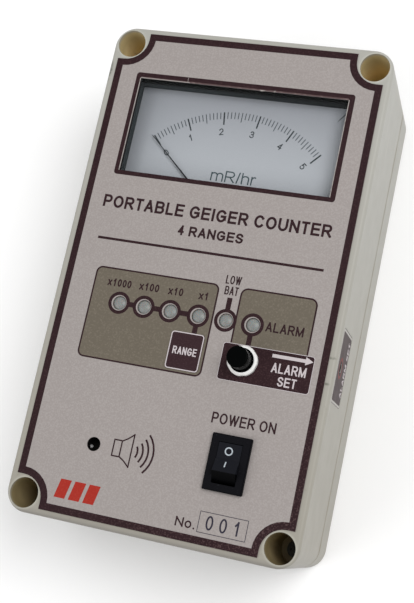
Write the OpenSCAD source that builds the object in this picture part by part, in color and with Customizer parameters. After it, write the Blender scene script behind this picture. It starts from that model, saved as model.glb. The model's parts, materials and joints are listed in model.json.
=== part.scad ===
// Hand-held geiger counter: an ivory ABS instrument box that lies on its back.
// The front panel faces +Z, +Y runs towards the top of the panel, and +X to its right.
// The origin is the centre of the flat rear face. All sizes are in millimetres.

/* [Case] */
// Outside width of the case
case_w = 110; // [109:0.5:112]
// Outside length of the case
case_h = 190; // [189:0.5:193]
// Outside depth of the case
case_d = 60; // [60:0.5:63]
// Radius of the four long corners
corner_r = 8; // [7.5:0.25:8.5]
// Wall thickness of both shells
wall = 3; // [2.8:0.1:3.1]
// Depth of the rear shell, up to the parting line
rear_d = 18; // [17:0.5:19]
// Rounding of the edge round the front panel
front_edge_r = 1.5; // [1:0.25:1.75]
// Rounding of the edge round the rear face
rear_edge_r = 2; // [1.5:0.25:2]
// Distance of each screw well from the two nearest sides
well_inset = 7; // [6.8:0.1:7.2]
// Radius of the screw wells
well_r = 5.5; // [5:0.1:5.5]
// Depth of the screw wells below the panel
well_depth = 32; // [28:0.5:33]

/* [Panel] */
// Gap between the label and the sides of the case
label_margin = 2.8; // [2.5:0.1:3]
// Gap between the label and the ends of the case
label_end_margin = 2.4; // [2.2:0.1:3]
// Thickness of the printed label
label_t = 0.3; // [0.2:0.05:0.4]
// Width of the meter window
window_w = 81.8; // [80:0.2:82]
// Height of the meter window
window_h = 37.6; // [37:0.2:38.4]
// Height of the window's centre above the panel's centre
window_y = 55.5; // [55.3:0.1:56.2]
// Radius of the indicator lamps
lamp_r = 2.5; // [2.3:0.1:2.6]
// Height of the row of lamps, from the panel's centre
lamp_y = -13.8; // [-14:0.2:-13.2]

/* [Meter] */
// Drop from the panel to the face of the dial
dial_drop = 7; // [6.8:0.1:7.4]
// Height of the needle's pivot, from the panel's centre
pivot_y = 24.6; // [24:0.2:24.8]
// Length of the needle from pivot to tip
needle_len = 44.8; // [43:0.2:46]
// Full sweep of the needle in degrees
needle_sweep = 97.2; // [90:0.2:98]

/* [Controls] */
// Width of the power switch bezel
bezel_w = 14.5; // [14.2:0.1:15]
// Height of the power switch bezel
bezel_h = 20; // [19.8:0.1:21]
// Full swing of the power rocker in degrees
rocker_swing = 30; // [26:1:30]
// Radius of the alarm button's cap
button_r = 3.85; // [3.6:0.05:3.9]
// Height of the alarm button above the panel
button_top = 10; // [9.5:0.5:12]

/* [Battery] */
// Width of the battery
battery_w = 26.2; // [25.6:0.1:26.4]
// Length of the battery body
battery_l = 46.5; // [46:0.5:47]
// Thickness of the battery
battery_t = 17.2; // [16.6:0.2:17.4]

/* [Hidden] */
$fn = 96;

panel_z = case_d;                        // outer face of the front wall
panel_in = case_d - wall;                // inner face of the front wall
label_top = panel_z + label_t;
gap = 0.1;                               // clearance round small moving parts
bead = 1.15;                             // thickening of a wire at its bends
well_x = case_w/2 - well_inset;
well_y = case_h/2 - well_inset;
well_floor = panel_z - well_depth;
well_wall = 1.2;
post_r = 4.5;                            // screw posts below the wells
screw_r = 1.5;
screw_head_r = 3;
lip_h = 2;                               // tongue of the rear shell in the front shell
lip_t = 1.3;
lip_inset = 1.6;
seam = 0.4;                              // shadow line at the parting

notch = 11.15;                           // cut in each corner of the label
notch_r = 8.5;                           // rounding of that cut
label_w = case_w - 2*label_margin;
label_h = case_h - 2*label_end_margin;

lamp_x = [-28.5, -18.8, -8.6, 2.3, 12.7, 22.85];
lamp_flange_r = lamp_r + 0.4;
lamp_top = label_top + 0.25;
lamp_dome_h = 0.9;
lamp_dome_r = (lamp_r*lamp_r + lamp_dome_h*lamp_dome_h)/(2*lamp_dome_h);
lamp_base = lamp_top - 8.6;

key_w = 12.5;
key_h = 13.8;
key_x = 0.1;
key_y = -27.4;
key_proud = 0.25;

button_x = 22;
button_y = -27.2;
bushing_r = button_r + 0.6;
nut_flats = 10.8;
nut_r = 5.55;                            // the nut's corners are turned down to this
nut_h = 2.3;
button_body_r = 6.5;
button_body_h = 15;

switch_x = 24.4;
switch_y = -63.7;
bezel_t = 1.8;
cutout_w = 13.2;
cutout_h = 18.8;
rocker_w = 8.5;
rocker_r = 9.25;                         // from pivot to the raised edges
pivot_drop = 6;                          // pivot below the top of the bezel
rocker_z = label_top + bezel_t - pivot_drop;

buzzer_x = -25.9;
buzzer_y = -66.1;
buzzer_hole_r = 2.55;
buzzer_r = 12;
buzzer_h = 7.5;

trimmer_y = -22.3;
trimmer_z = panel_z - 10.5;
trimmer_hole_r = 1.6;
trimmer_size = 7;
side_label_w = 27;
side_label_h = 20.5;
side_label_y = -22;
side_label_z = panel_z - 13.4;
side_label_t = 0.25;                     // depth of the recess for the side label
side_label_sunk = 0.05;

board_t = 1.6;
main_z = panel_in - 11;                  // face of the main board towards the panel
main_w = 98;
main_h = 47;
main_y = -22.7;
main_posts = [[-43, -42], [43, -42], [-43, -3.5], [43, -3.5]];

collar_w = window_w + 4;                 // meter collar that fills the shell's opening
collar_h = window_h + 4;
inlet_w = window_w + 1.4;                // opening of the collar down to the dial
inlet_low_y = window_y - window_h/2 - 0.4;
inlet_top_y = window_y + window_h/2 - 0.7;
pane_t = 1.5;
meter_w = 89;
meter_floor = 30;
meter_low_y = 3;
meter_top_y = 78.5;
meter_h = meter_top_y - meter_low_y;
meter_mid_y = (meter_top_y + meter_low_y)/2;
meter_wall = 1.5;
meter_ears = [[-47.3, 12], [47.3, 12], [-47.3, 66], [47.3, 66]];
dial_z = panel_z - dial_drop;
dial_t = 0.8;
dial_w = 85;
dial_low_y = 28.5;
dial_top_y = 76.6;
dial_posts = [[-36, 30.5], [36, 30.5]];
dial_rests = [[-36, 72.5], [36, 72.5]];
anchor_x = 5.4;                          // where the hairsprings' outer ends are held
yoke_r = 14;
yoke_bore = 11.5;
core_r = 6.5;
magnet_z0 = 36;
magnet_z1 = 47.5;
coil_in = 8;
coil_out = 9.6;
coil_half_w = 1.8;
coil_z0 = 33.9;
coil_z1 = 49.6;
bar_t = 1.2;
staff_r = 0.6;
collet_r = 1.05;
spring_h = 0.4;                          // width of the hairsprings' strip
upper_spring_z = coil_z1 + 2;
lower_spring_z = coil_z0 - 1.2;
needle_z = dial_z + 0.9;
needle_t = 0.25;
bridge_z = dial_z + 1.5;
bridge_t = 0.7;
bridge_post_x = 17.5;
stud_x = 28;
stud_y = 12;

hv_z = 9.6;                              // upper face of the high-voltage board
hv_w = 92;
hv_y0 = 2;
hv_y1 = 80;
hv_posts = [[-41, 7], [41, 7], [-41, 75.5], [41, 75.5]];
tube_r = 7.5;
tube_l = 62;
tube_y = 62;
tube_z = hv_z + 10;
clip_x = 20;

door_w = 30;
door_t = 1;                              // outer skin of the battery door
tongue_t = 0.9;                          // its two side tongues
tongue_out = 1.5;
door_y1 = -26;
pocket_w = battery_w + 1.2;
pocket_y0 = -83;
pocket_y1 = -28;
pocket_top = 20.6;
pocket_wall = 1.8;
battery_z = 2.3;
battery_y = pocket_y0 + 0.6 + battery_l/2;
terminal_z = battery_z + battery_t/2;

ivory = [0.80, 0.79, 0.72];
grey_label = [0.66, 0.63, 0.62];
brown = [0.24, 0.15, 0.17];
black = [0.08, 0.08, 0.09];
dark = [0.17, 0.18, 0.19];
chrome = [0.88, 0.88, 0.90];
steel = [0.70, 0.71, 0.73];
copper = [0.72, 0.40, 0.22];
brass = [0.78, 0.62, 0.30];
milky = [0.62, 0.64, 0.62];
board_green = [0.10, 0.32, 0.18];
ferrite = [0.25, 0.25, 0.27];

// ---- shared shapes ----

// Flat rectangle with round corners
module rounded_rect(w, h, r) {
    square([w - 2*r, h], center = true);
    square([w, h - 2*r], center = true);
    for (x = [-1, 1], y = [-1, 1])
        translate([x*(w/2 - r), y*(h/2 - r)])
            circle(r);
}

// Plate with round corners between two heights
module rounded_plate(w, h, r, z0, z1) {
    translate([0, 0, z0])
        linear_extrude(z1 - z0)
            rounded_rect(w, h, r);
}

// Upright cylinder between two heights
module post(r, z0, z1) {
    translate([0, 0, z0])
        cylinder(r = r, h = z1 - z0);
}

// Upright block centred on its place, between two heights
module block(w, h, z0, z1) {
    translate([-w/2, -h/2, z0])
        cube([w, h, z1 - z0]);
}

// The four corners where the screw wells and posts stand
module at_wells() {
    for (x = [-1, 1], y = [-1, 1])
        translate([x*well_x, y*well_y, 0])
            children();
}

// Copies of a piece at a list of places
module at_places(places) {
    for (p = places)
        translate([p[0], p[1], 0])
            children();
}

// Round wire through a list of points, with a slightly thicker bead at each bend
module wire(points, r) {
    for (i = [0 : len(points) - 2]) {
        step = points[i + 1] - points[i];
        length = norm(step);
        translate(points[i])
            rotate([0, acos(step[2]/length), atan2(step[1], step[0])])
                cylinder(r = r, h = length, $fn = 24);
    }
    for (p = points)
        translate(p)
            sphere(bead*r, $fn = 24);
}

// Slotted cheese-head screw that points down from its head's top at z = 0
module small_screw(head_r, head_h, r, length) {
    difference() {
        post(head_r, -head_h, 0);
        block(2*head_r + 1, head_r*0.25, -head_h*0.45, 1);
    }
    post(r, -head_h - length, -head_h);
}

// ---- case ----

// Half of the case's section, with its front and rear edges rounded
module edge_section(half) {
    square([half - rear_edge_r, case_d - front_edge_r]);
    translate([0, rear_edge_r])
        square([half, case_d - front_edge_r - rear_edge_r]);
    translate([0, rear_edge_r])
        square([half - front_edge_r, case_d - rear_edge_r]);
    translate([half - front_edge_r, case_d - front_edge_r])
        circle(front_edge_r);
    translate([half - rear_edge_r, rear_edge_r])
        circle(rear_edge_r);
}

module full_section(half) {
    edge_section(half);
    mirror([1, 0])
        edge_section(half);
}

// Outer form of the closed case
module case_form() {
    rotate([90, 0, 0])
        linear_extrude(case_h - 2*corner_r, center = true)
            full_section(case_w/2);
    rotate([90, 0, 90])
        linear_extrude(case_w - 2*corner_r, center = true)
            full_section(case_h/2);
    for (x = [-1, 1], y = [-1, 1])
        translate([x*(case_w/2 - corner_r), y*(case_h/2 - corner_r), 0])
            rotate_extrude()
                edge_section(corner_r);
}

// Hollow of the case between two heights
module case_hollow(z0, z1) {
    rounded_plate(case_w - 2*wall, case_h - 2*wall, corner_r - wall, z0, z1);
}

// Ring that follows the case at a distance inside its outer face
module case_ring(inset, thickness, z0, z1) {
    difference() {
        rounded_plate(case_w - 2*inset, case_h - 2*inset, corner_r - inset, z0, z1);
        rounded_plate(case_w - 2*inset - 2*thickness, case_h - 2*inset - 2*thickness,
            corner_r - inset - thickness, z0 - 1, z1 + 1);
    }
}

// Well tube and screw post in one corner of the front shell
module well_post() {
    post(well_r + well_wall, well_floor - 3.5, panel_in + 1);
    post(post_r, rear_d, well_floor);
}

// Openings in the front wall for the meter, lamps, keys and switches
module panel_openings() {
    translate([0, window_y, 0])
        block(collar_w + 2*gap, collar_h + 2*gap, panel_in - 1, panel_z + 1);
    for (x = lamp_x)
        translate([x, lamp_y, 0])
            post(lamp_r + 0.2, panel_in - 1, panel_z + 1);
    translate([key_x, key_y, 0])
        block(key_w + 0.4, key_h + 0.4, panel_in - 1, panel_z + 1);
    translate([button_x, button_y, 0])
        post(bushing_r + 0.05, panel_in - 1, panel_z + 1);
    translate([switch_x, switch_y, 0])
        block(cutout_w, cutout_h, panel_in - 1, panel_z + 1);
    translate([buzzer_x, buzzer_y, 0])
        post(buzzer_hole_r, panel_in - 1, panel_z + 1);
}

// Shallow recess and screwdriver hole in the right-hand wall
module trimmer_opening() {
    translate([case_w/2 - side_label_t, side_label_y, side_label_z])
        rotate([90, 0, 90])
            linear_extrude(1)
                rounded_rect(side_label_w, side_label_h, 1.5);
    translate([case_w/2 - wall - 1, trimmer_y, trimmer_z])
        rotate([0, 90, 0])
            cylinder(r = trimmer_hole_r, h = wall + 2);
}

module front_shell() {
    color(ivory)
        difference() {
            union() {
                difference() {
                    case_form();
                    case_hollow(-1, panel_in);
                }
                intersection() {
                    case_form();
                    at_wells()
                        well_post();
                }
                at_places(main_posts)
                    post(3, main_z, panel_in + 1);
                at_places(meter_ears)
                    post(2.8, panel_in - 4, panel_in + 1);
            }
            block(case_w + 2, case_h + 2, -1, rear_d);
            case_ring(lip_inset - gap, lip_t + 2*gap, rear_d - 1, rear_d + lip_h + gap);
            at_wells() {
                post(well_r, well_floor, panel_z + 1);
                post(screw_r + 0.3, 0, well_floor + 1);
            }
            at_places(main_posts)
                post(1.1, main_z - 1, panel_in - 2);
            at_places(meter_ears)
                post(1.1, panel_in - 5, panel_in + 0.5);
            panel_openings();
            trimmer_opening();
        }
}

// Closed box that holds the battery, open through the rear face
module battery_pocket_walls() {
    translate([0, (pocket_y0 + pocket_y1)/2, 0])
        block(pocket_w + 2*pocket_wall, pocket_y1 - pocket_y0 + 2*pocket_wall,
            1, pocket_top + pocket_wall);
}

// Everything cut out for the battery and its sliding door
module battery_cuts() {
    translate([0, (pocket_y0 + pocket_y1)/2, 0])
        block(pocket_w, pocket_y1 - pocket_y0, -1, pocket_top);
    translate([0, (door_y1 - case_h/2)/2 - 0.5, 0]) {
        block(door_w + 4*gap, door_y1 + case_h/2 + 1, -1, door_t + 0.5);
        block(door_w + 2*tongue_out + 4*gap, door_y1 + case_h/2 + 1,
            door_t - gap, door_t + tongue_t + gap);
    }
    translate([8, pocket_y1, 0])
        block(5, 2*pocket_wall + 4, pocket_top - 6, pocket_top);
}

module rear_shell() {
    color(ivory)
        difference() {
            union() {
                difference() {
                    case_form();
                    case_hollow(wall, case_d + 1);
                    block(case_w + 2, case_h + 2, rear_d, case_d + 1);
                    case_ring(-1, 1 + seam, rear_d - seam, rear_d + 1);
                }
                case_ring(lip_inset, lip_t, wall, rear_d + lip_h);
                intersection() {
                    case_form();
                    at_wells()
                        post(post_r, 1, rear_d);
                }
                at_places(hv_posts)
                    post(3.2, 1, hv_z - board_t);
                battery_pocket_walls();
            }
            battery_cuts();
            at_wells()
                post(screw_r, 5, rear_d + 5);
            at_places(hv_posts)
                post(1.1, 3, hv_z);
        }
}

// Pan-head screws at the bottom of the wells, with cross recesses
module case_screws() {
    color(steel)
        at_wells()
            translate([0, 0, well_floor]) {
                difference() {
                    post(screw_head_r, 0, 2.2);
                    for (turn = [20, 110])
                        rotate([0, 0, turn])
                            block(3.4, 0.8, 1, 3);
                }
                post(screw_r, 6 - well_floor, 0.5);
            }
}

// Sliding battery door with side tongues and a ribbed thumb grip
module battery_cover() {
    length = door_y1 - gap + case_h/2;
    color(ivory)
        difference() {
            intersection() {
                case_form();
                translate([0, -case_h/2 + length/2, 0]) {
                    block(door_w, length, 0, door_t + tongue_t);
                    block(door_w + 2*tongue_out, length, door_t, door_t + tongue_t);
                }
            }
            for (i = [0 : 5])
                translate([0, -case_h/2 + 10 + 2*i, 0])
                    block(16, 1, -1, 0.5);
        }
}

// ---- labels ----

// Printed film with a cut-out for each control and a notch at each well
module front_label() {
    color(grey_label)
        translate([0, 0, panel_z])
            linear_extrude(label_t)
                difference() {
                    square([label_w, label_h], center = true);
                    for (x = [-1, 1], y = [-1, 1])
                        translate([x*label_w/2, y*label_h/2])
                            rounded_rect(2*notch, 2*notch, notch_r);
                    for (x = lamp_x)
                        translate([x, lamp_y])
                            circle(lamp_r + 0.1);
                    translate([0, window_y])
                        square([window_w, window_h], center = true);
                    translate([key_x, key_y])
                        square([key_w + 0.4, key_h + 0.4], center = true);
                    translate([button_x, button_y])
                        circle(bushing_r + 0.05);
                    translate([switch_x, switch_y])
                        square([cutout_w, cutout_h], center = true);
                    translate([buzzer_x, buzzer_y])
                        circle(buzzer_hole_r);
                }
}

module side_label() {
    color(brown)
        translate([case_w/2 - side_label_t, side_label_y, side_label_z])
            rotate([90, 0, 90])
                linear_extrude(side_label_t - side_label_sunk)
                    difference() {
                        rounded_rect(side_label_w, side_label_h, 1.5);
                        translate([trimmer_y - side_label_y, trimmer_z - side_label_z])
                            circle(trimmer_hole_r);
                    }
}

// ---- meter ----

// Clear pane in the case's opening, under the edge of the label
module meter_window() {
    color([0.85, 0.90, 0.92, 0.3])
        translate([0, window_y, 0])
            block(collar_w, collar_h, panel_z - pane_t, panel_z);
}

// Black case of the meter, with the collar that carries the pane
module meter_housing() {
    color(dark)
        translate([anchor_x, pivot_y, 0])
            block(0.8, 1.6, meter_floor + meter_wall - 0.1, coil_z0 - 0.8);
    color(dark)
        difference() {
            union() {
                difference() {
                    translate([0, meter_mid_y, 0])
                        block(meter_w, meter_h, meter_floor, panel_in);
                    translate([0, meter_mid_y, 0])
                        block(meter_w - 2*meter_wall, meter_h - 2*meter_wall,
                            meter_floor + meter_wall, panel_in - meter_wall);
                }
                translate([0, window_y, 0])
                    block(collar_w, collar_h, dial_z + 0.1, panel_z - pane_t);
                at_places(meter_ears)
                    post(3.4, panel_in - 6, panel_in - 4);
                at_places(concat(dial_posts, dial_rests))
                    post(2.5, meter_floor, dial_z - dial_t);
                translate([0, pivot_y, 0])
                    post(yoke_r, meter_floor, magnet_z0);
                for (x = [-1, 1])
                    translate([x*bridge_post_x, pivot_y, 0])
                        post(2.2, meter_floor, bridge_z);
            }
            translate([0, (inlet_low_y + inlet_top_y)/2, 0])
                block(inlet_w, inlet_top_y - inlet_low_y, dial_z, panel_z);
            translate([0, inlet_low_y, 0])
                block(inlet_w, 4, dial_z, panel_in - meter_wall);
            translate([0, pivot_y, 0])
                post(yoke_bore, meter_floor + meter_wall, magnet_z0 + 1);
            translate([0, pivot_y, 0])
                post(1.55, meter_floor - 1, meter_floor + meter_wall + 1);
            at_places(meter_ears)
                post(1.4, panel_in - 7, panel_in - 3);
            at_places(dial_posts)
                post(0.8, dial_z - 6, dial_z);
            for (x = [-1, 1]) {
                translate([x*bridge_post_x, pivot_y, 0])
                    post(0.8, bridge_z - 5, bridge_z + 1);
                translate([x*stud_x, stud_y, 0])
                    post(2.05, meter_floor - 1, meter_floor + meter_wall + 1);
            }
        }
}

// Screws that hold the meter to the front shell, driven from behind
module meter_screws() {
    color(steel)
        at_places(meter_ears)
            translate([0, 0, panel_in - 6])
                rotate([180, 0, 0])
                    translate([0, 0, 1.6])
                        small_screw(2.3, 1.6, 1.1, 6);
}

module dial_plate() {
    color([0.74, 0.76, 0.78])
        difference() {
            translate([0, (dial_low_y + dial_top_y)/2, 0])
                block(dial_w, dial_top_y - dial_low_y, dial_z - dial_t, dial_z);
            at_places(dial_posts)
                post(0.9, dial_z - 2, dial_z + 1);
        }
}

module dial_screws() {
    color(brass)
        at_places(dial_posts)
            translate([0, 0, dial_z + 0.7])
                small_screw(1.5, 0.7, 0.8, 4);
}

// Soft-iron ring round the coil, with two arms that hold the magnet core
module meter_yoke() {
    color(steel)
        translate([0, pivot_y, 0]) {
            difference() {
                post(yoke_r, magnet_z0, magnet_z1);
                post(yoke_bore, magnet_z0 - 1, magnet_z1 + 1);
            }
            for (y = [-1, 1])
                translate([0, y*(core_r + yoke_bore + 0.4)/2, 0])
                    block(2.4, yoke_bore - core_r + 0.6, magnet_z0 + 3, magnet_z1 - 3);
        }
}

module meter_core() {
    color(ferrite)
        translate([0, pivot_y, 0])
            difference() {
                post(core_r, magnet_z0, magnet_z1);
                for (y = [-1, 1])
                    translate([0, y*(core_r + yoke_bore + 0.4)/2, 0])
                        block(2.4, yoke_bore - core_r + 0.6, magnet_z0 + 3, magnet_z1 - 3);
            }
}

// Cross strip over the needle that carries the upper jewel
module meter_bridge() {
    color(brass)
        difference() {
            union() {
                translate([0, pivot_y, 0])
                    block(2*bridge_post_x + 5, 4.6, bridge_z, bridge_z + bridge_t);
                translate([anchor_x, pivot_y, 0])
                    block(0.8, 1.6, coil_z1 + 1.9, bridge_z + 0.1);
            }
            translate([0, pivot_y, 0])
                post(1.2, bridge_z - 1, bridge_z + 2);
            for (x = [-1, 1])
                translate([x*bridge_post_x, pivot_y, 0])
                    post(0.8, bridge_z - 1, bridge_z + 2);
        }
}

// Upper and lower jewel screws, and the two screws of the bridge
module jewel_screws() {
    color(brass)
        translate([0, pivot_y, 0]) {
            difference() {
                post(1.2, bridge_z, panel_in - meter_wall - 0.3);
                post(0.3, bridge_z - 1, bridge_z + 0.3);
            }
            difference() {
                post(1.5, meter_floor - 0.5, coil_z0 - 1.9);
                post(0.3, coil_z0 - 2.3, coil_z0 - 1);
            }
            for (x = [-1, 1])
                translate([x*bridge_post_x, 0, bridge_z + bridge_t + 0.2])
                    small_screw(1.6, 0.2, 0.8, 4);
        }
}

// Turn of every piece that swings with the needle, at the zero mark
module at_zero() {
    translate([0, pivot_y, 0])
        rotate([0, 0, needle_sweep/2])
            children();
}

// Copper winding in a rectangular loop round the core
module meter_coil() {
    color(copper)
        at_zero() {
            for (x = [-1, 1])
                translate([x*(coil_in + coil_out)/2, 0, 0])
                    block(coil_out - coil_in, 2*coil_half_w, coil_z0, coil_z1);
            for (z = [coil_z0, coil_z1 - bar_t])
                difference() {
                    block(2*coil_out, 2*coil_half_w, z, z + bar_t);
                    post(staff_r, z - 1, z + bar_t + 1);
                }
        }
}

// Two pivots that stand on the coil and run in the jewels, each with a spring collar
module coil_staff() {
    color(steel)
        at_zero() {
            post(staff_r, coil_z1 - bar_t, bridge_z - 0.3);
            post(collet_r, upper_spring_z, upper_spring_z + spring_h);
            post(0.25, bridge_z - 0.3, bridge_z + 0.2);
            post(staff_r, coil_z0 - 1.6, coil_z0 + bar_t);
            post(collet_r, lower_spring_z, lower_spring_z + spring_h);
            post(0.25, coil_z0 - 2.2, coil_z0 - 1.6);
        }
}

// Thin pointer with a hub and a short balance tail
module needle() {
    tail = 7;
    color(black)
        at_zero()
            difference() {
                union() {
                    post(1.8, needle_z - 0.3, needle_z + needle_t + 0.1);
                    translate([0, 0, needle_z])
                        linear_extrude(needle_t)
                            polygon([[-0.45, -tail], [0.45, -tail], [0.4, 8],
                                [0.12, needle_len], [-0.12, needle_len], [-0.4, 8]]);
                    translate([0, -tail + 1, 0])
                        post(1.2, needle_z - 0.3, needle_z + needle_t + 0.1);
                }
                post(staff_r, needle_z - 1, needle_z + 1);
            }
}

// Flat spiral spring from a collar on the staff out to its anchor
function spiral_point(turn, turns, r0, r1, side) =
    let (r = r0 + (r1 - r0)*turn/turns + side*0.09)
    [r*cos(360*turn), r*sin(360*turn)];

module hairspring(z0) {
    turns = 4;
    steps = 24*turns;
    color(brass)
        translate([0, pivot_y, z0])
            linear_extrude(spring_h)
                polygon(concat(
                    [for (i = [0 : steps]) spiral_point(i/24, turns, 1.2, 4.9, -1)],
                    [for (i = [steps : -1 : 0]) spiral_point(i/24, turns, 1.2, 4.9, 1)]));
}

module upper_hairspring() {
    hairspring(upper_spring_z);
}

module lower_hairspring() {
    hairspring(lower_spring_z);
}

// Threaded studs at the meter's back, each with a nut
module meter_terminals() {
    color(brass)
        for (x = [-1, 1])
            translate([x*stud_x, stud_y, 0]) {
                post(2, meter_floor - 7, meter_floor + meter_wall + 1);
                difference() {
                    translate([0, 0, meter_floor - 2.5])
                        cylinder(r = 4, h = 2.5, $fn = 6);
                    post(2, meter_floor - 3, meter_floor + 1);
                }
            }
}

// ---- lamps ----

// Round lamp with a shallow dome, a flange and a flat on one side of the flange
module lamp(i) {
    translate([lamp_x[i], lamp_y, 0]) {
        intersection() {
            post(lamp_r, lamp_base, lamp_top + 1);
            union() {
                post(lamp_r + 1, lamp_base - 1, lamp_top - 2*lamp_dome_h);
                translate([0, 0, lamp_top - lamp_dome_r])
                    sphere(lamp_dome_r);
            }
        }
        difference() {
            post(lamp_flange_r, lamp_base, lamp_base + 1);
            translate([lamp_r + 1, 0, 0])
                block(2, 8, lamp_base - 1, lamp_base + 2);
        }
    }
}

module led_x1000() {
    color(milky)
        lamp(0);
}

module led_x100() {
    color(milky)
        lamp(1);
}

module led_x10() {
    color(milky)
        lamp(2);
}

module led_x1() {
    color(milky)
        lamp(3);
}

module led_low_bat() {
    color(milky)
        lamp(4);
}

module led_alarm() {
    color(milky)
        lamp(5);
}

// Pairs of square leads from each lamp down through the main board
module led_leads() {
    color(steel)
        for (x = lamp_x, side = [-1, 1])
            translate([x, lamp_y + side*1.27, 0])
                block(0.5, 0.5, main_z - board_t - 1.5, lamp_base);
}

// ---- range key ----

// Square key cap in the panel, with a lip behind the wall and a stem
module range_key() {
    color(brown)
        translate([key_x, key_y, 0]) {
            rounded_plate(key_w, key_h, 1.1, panel_in - 0.2, label_top + key_proud);
            rounded_plate(key_w + 2, key_h + 2, 1.1, panel_in - 1, panel_in - gap);
            post(2, main_z + 5, panel_in - 0.5);
        }
}

module range_switch() {
    color(dark)
        translate([key_x, key_y, 0]) {
            difference() {
                block(6, 6, main_z, main_z + 3.5);
                post(1.75 + gap, main_z + 1, main_z + 4);
            }
        }
}

module range_plunger() {
    color(black)
        translate([key_x, key_y, 0])
            post(1.75, main_z + 1.5, main_z + 5);
}

// ---- alarm button ----

// Black push cap with a rounded rim and a collar that stops it below
module alarm_button_cap() {
    top = panel_z + button_top;
    color(black)
        translate([button_x, button_y, 0]) {
            post(button_r - 0.6, panel_in - 3, top);
            post(button_r, panel_in - 3, top - 0.6);
            translate([0, 0, top - 0.6])
                rotate_extrude()
                    intersection() {
                        translate([button_r - 0.6, 0])
                            circle(0.6);
                        square([button_r, 2]);
                    }
            post(button_r + 0.9, panel_in - 5, panel_in - 3);
        }
}

// Threaded black sleeve through the panel
module alarm_button_bushing() {
    color(black)
        translate([button_x, button_y, 0])
            difference() {
                post(bushing_r, panel_in - 2.9, label_top + nut_h + 0.15);
                post(button_r + gap, panel_in - 4, label_top + nut_h + 2);
            }
}

// Hexagon nut with its corners turned down and its top domed
module alarm_button_nut() {
    color(chrome)
        translate([button_x, button_y, label_top])
            difference() {
                intersection() {
                    rotate([0, 0, 12])
                        cylinder(r = nut_flats/sqrt(3), h = nut_h, $fn = 6);
                    post(nut_r, -1, nut_h + 1);
                    translate([0, 0, nut_h - 4.22])
                        sphere(6.47);
                }
                post(bushing_r, -1, nut_h + 1);
            }
}

// Switch body behind the panel, with the cavity for collar and spring
module alarm_button_body() {
    color(dark)
        translate([button_x, button_y, 0])
            difference() {
                post(button_body_r, panel_in - button_body_h, panel_in);
                post(bushing_r, panel_in - 2.9, panel_in + 1);
                post(button_r + 1.2, panel_in - 3 - 2 - 6, panel_in - 2.9);
            }
}

// Point on the spring's centre line, and the ring of wire round it
function coil_ring(turn, turns, r, height, wire_r) =
    [for (k = [0 : 7])
        let (reach = r + wire_r*cos(45*k))
        [reach*cos(360*turn), reach*sin(360*turn), height*turn/turns + wire_r*sin(45*k)]];

// Helical compression spring under the button's collar
module alarm_button_spring() {
    turns = 4;
    steps = 20*turns;
    wire_r = 0.3;
    length = 6 - 2*wire_r;
    rings = [for (i = [0 : steps]) coil_ring(i/20, turns, 3, length, wire_r)];
    points = [for (ring = rings, p = ring) p];
    sides = [for (i = [0 : steps - 1], k = [0 : 7])
        [8*i + k, 8*(i + 1) + k, 8*(i + 1) + (k + 1)%8, 8*i + (k + 1)%8]];
    caps = [[for (k = [0 : 7]) k], [for (k = [7 : -1 : 0]) 8*steps + k]];
    color(steel)
        translate([button_x, button_y, panel_in - 11 + wire_r])
            polyhedron(points, concat(sides, caps), convexity = 10);
}

module alarm_button_terminals() {
    color(brass)
        for (x = [-1, 1])
            translate([button_x + x*2.5, button_y, 0])
                difference() {
                    block(0.6, 2.4, panel_in - button_body_h - 6, panel_in - button_body_h);
                    translate([0, 0, panel_in - button_body_h - 4.4])
                        rotate([0, 90, 0])
                            cylinder(r = 0.6, h = 4, center = true);
                }
}

// ---- power switch ----

// Bezel, body and pivot bores of the rocker switch
module power_switch_frame() {
    body_bottom = label_top - 15;
    top = label_top + bezel_t;
    color(black)
        translate([switch_x, switch_y, 0])
            difference() {
                union() {
                    rounded_plate(bezel_w, bezel_h, 0.5, label_top, top - 0.4);
                    rounded_plate(bezel_w - 0.8, bezel_h - 0.8, 0.5, label_top, top);
                    block(cutout_w - 0.3, cutout_h - 0.2, body_bottom, label_top + 0.5);
                }
                block(rocker_w + 0.3, 14.6, top - 1, top + 1);
                block(rocker_w + 0.3, 17.4, body_bottom + 2, top - 0.5);
                translate([0, 0, rocker_z])
                    rotate([0, 90, 0])
                        cylinder(r = 1.05, h = rocker_w + 2.4, center = true);
            }
}

// Section of the rocker across its pivot, in its mid position
module rocker_section() {
    half = rocker_swing/2;
    valley = pivot_drop/cos(half);
    reach = pivot_drop*tan(half);
    edge_y = sqrt(rocker_r*rocker_r - pivot_drop*pivot_drop)*cos(half) - reach*cos(half);
    edge_z = valley + edge_y*tan(half);
    polygon([[0, valley], [edge_y, edge_z], [7.8, 2.9], [4, -1.5], [-4, -1.5], [-7.8, 2.9],
        [-edge_y, edge_z]]);
    circle(2.6);
}

// Rocker with its off end pressed flush, on two short pivots
module power_rocker() {
    color(black)
        translate([switch_x, switch_y, rocker_z])
            rotate([-rocker_swing/2, 0, 0]) {
                rotate([90, 0, 90])
                    linear_extrude(rocker_w, center = true)
                        rocker_section();
                rotate([0, 90, 0])
                    cylinder(r = 1, h = rocker_w + 2, center = true);
            }
}

module power_switch_terminals() {
    color(brass)
        for (y = [-1, 1])
            translate([switch_x, switch_y + y*4, 0])
                difference() {
                    block(4.8, 0.8, label_top - 23, label_top - 15);
                    translate([0, 0, label_top - 21])
                        rotate([90, 0, 0])
                            cylinder(r = 0.8, h = 4, center = true);
                }
}

// ---- buzzer ----

// Round sounder glued behind the panel, open towards the panel's hole
module buzzer_case() {
    color(black)
        translate([buzzer_x, buzzer_y, 0])
            difference() {
                post(buzzer_r, panel_in - buzzer_h, panel_in);
                post(buzzer_r - 1.2, panel_in - buzzer_h + 1.2, panel_in - 1.2);
                post(buzzer_hole_r + 0.4, panel_in - 2, panel_in + 1);
            }
}

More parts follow.
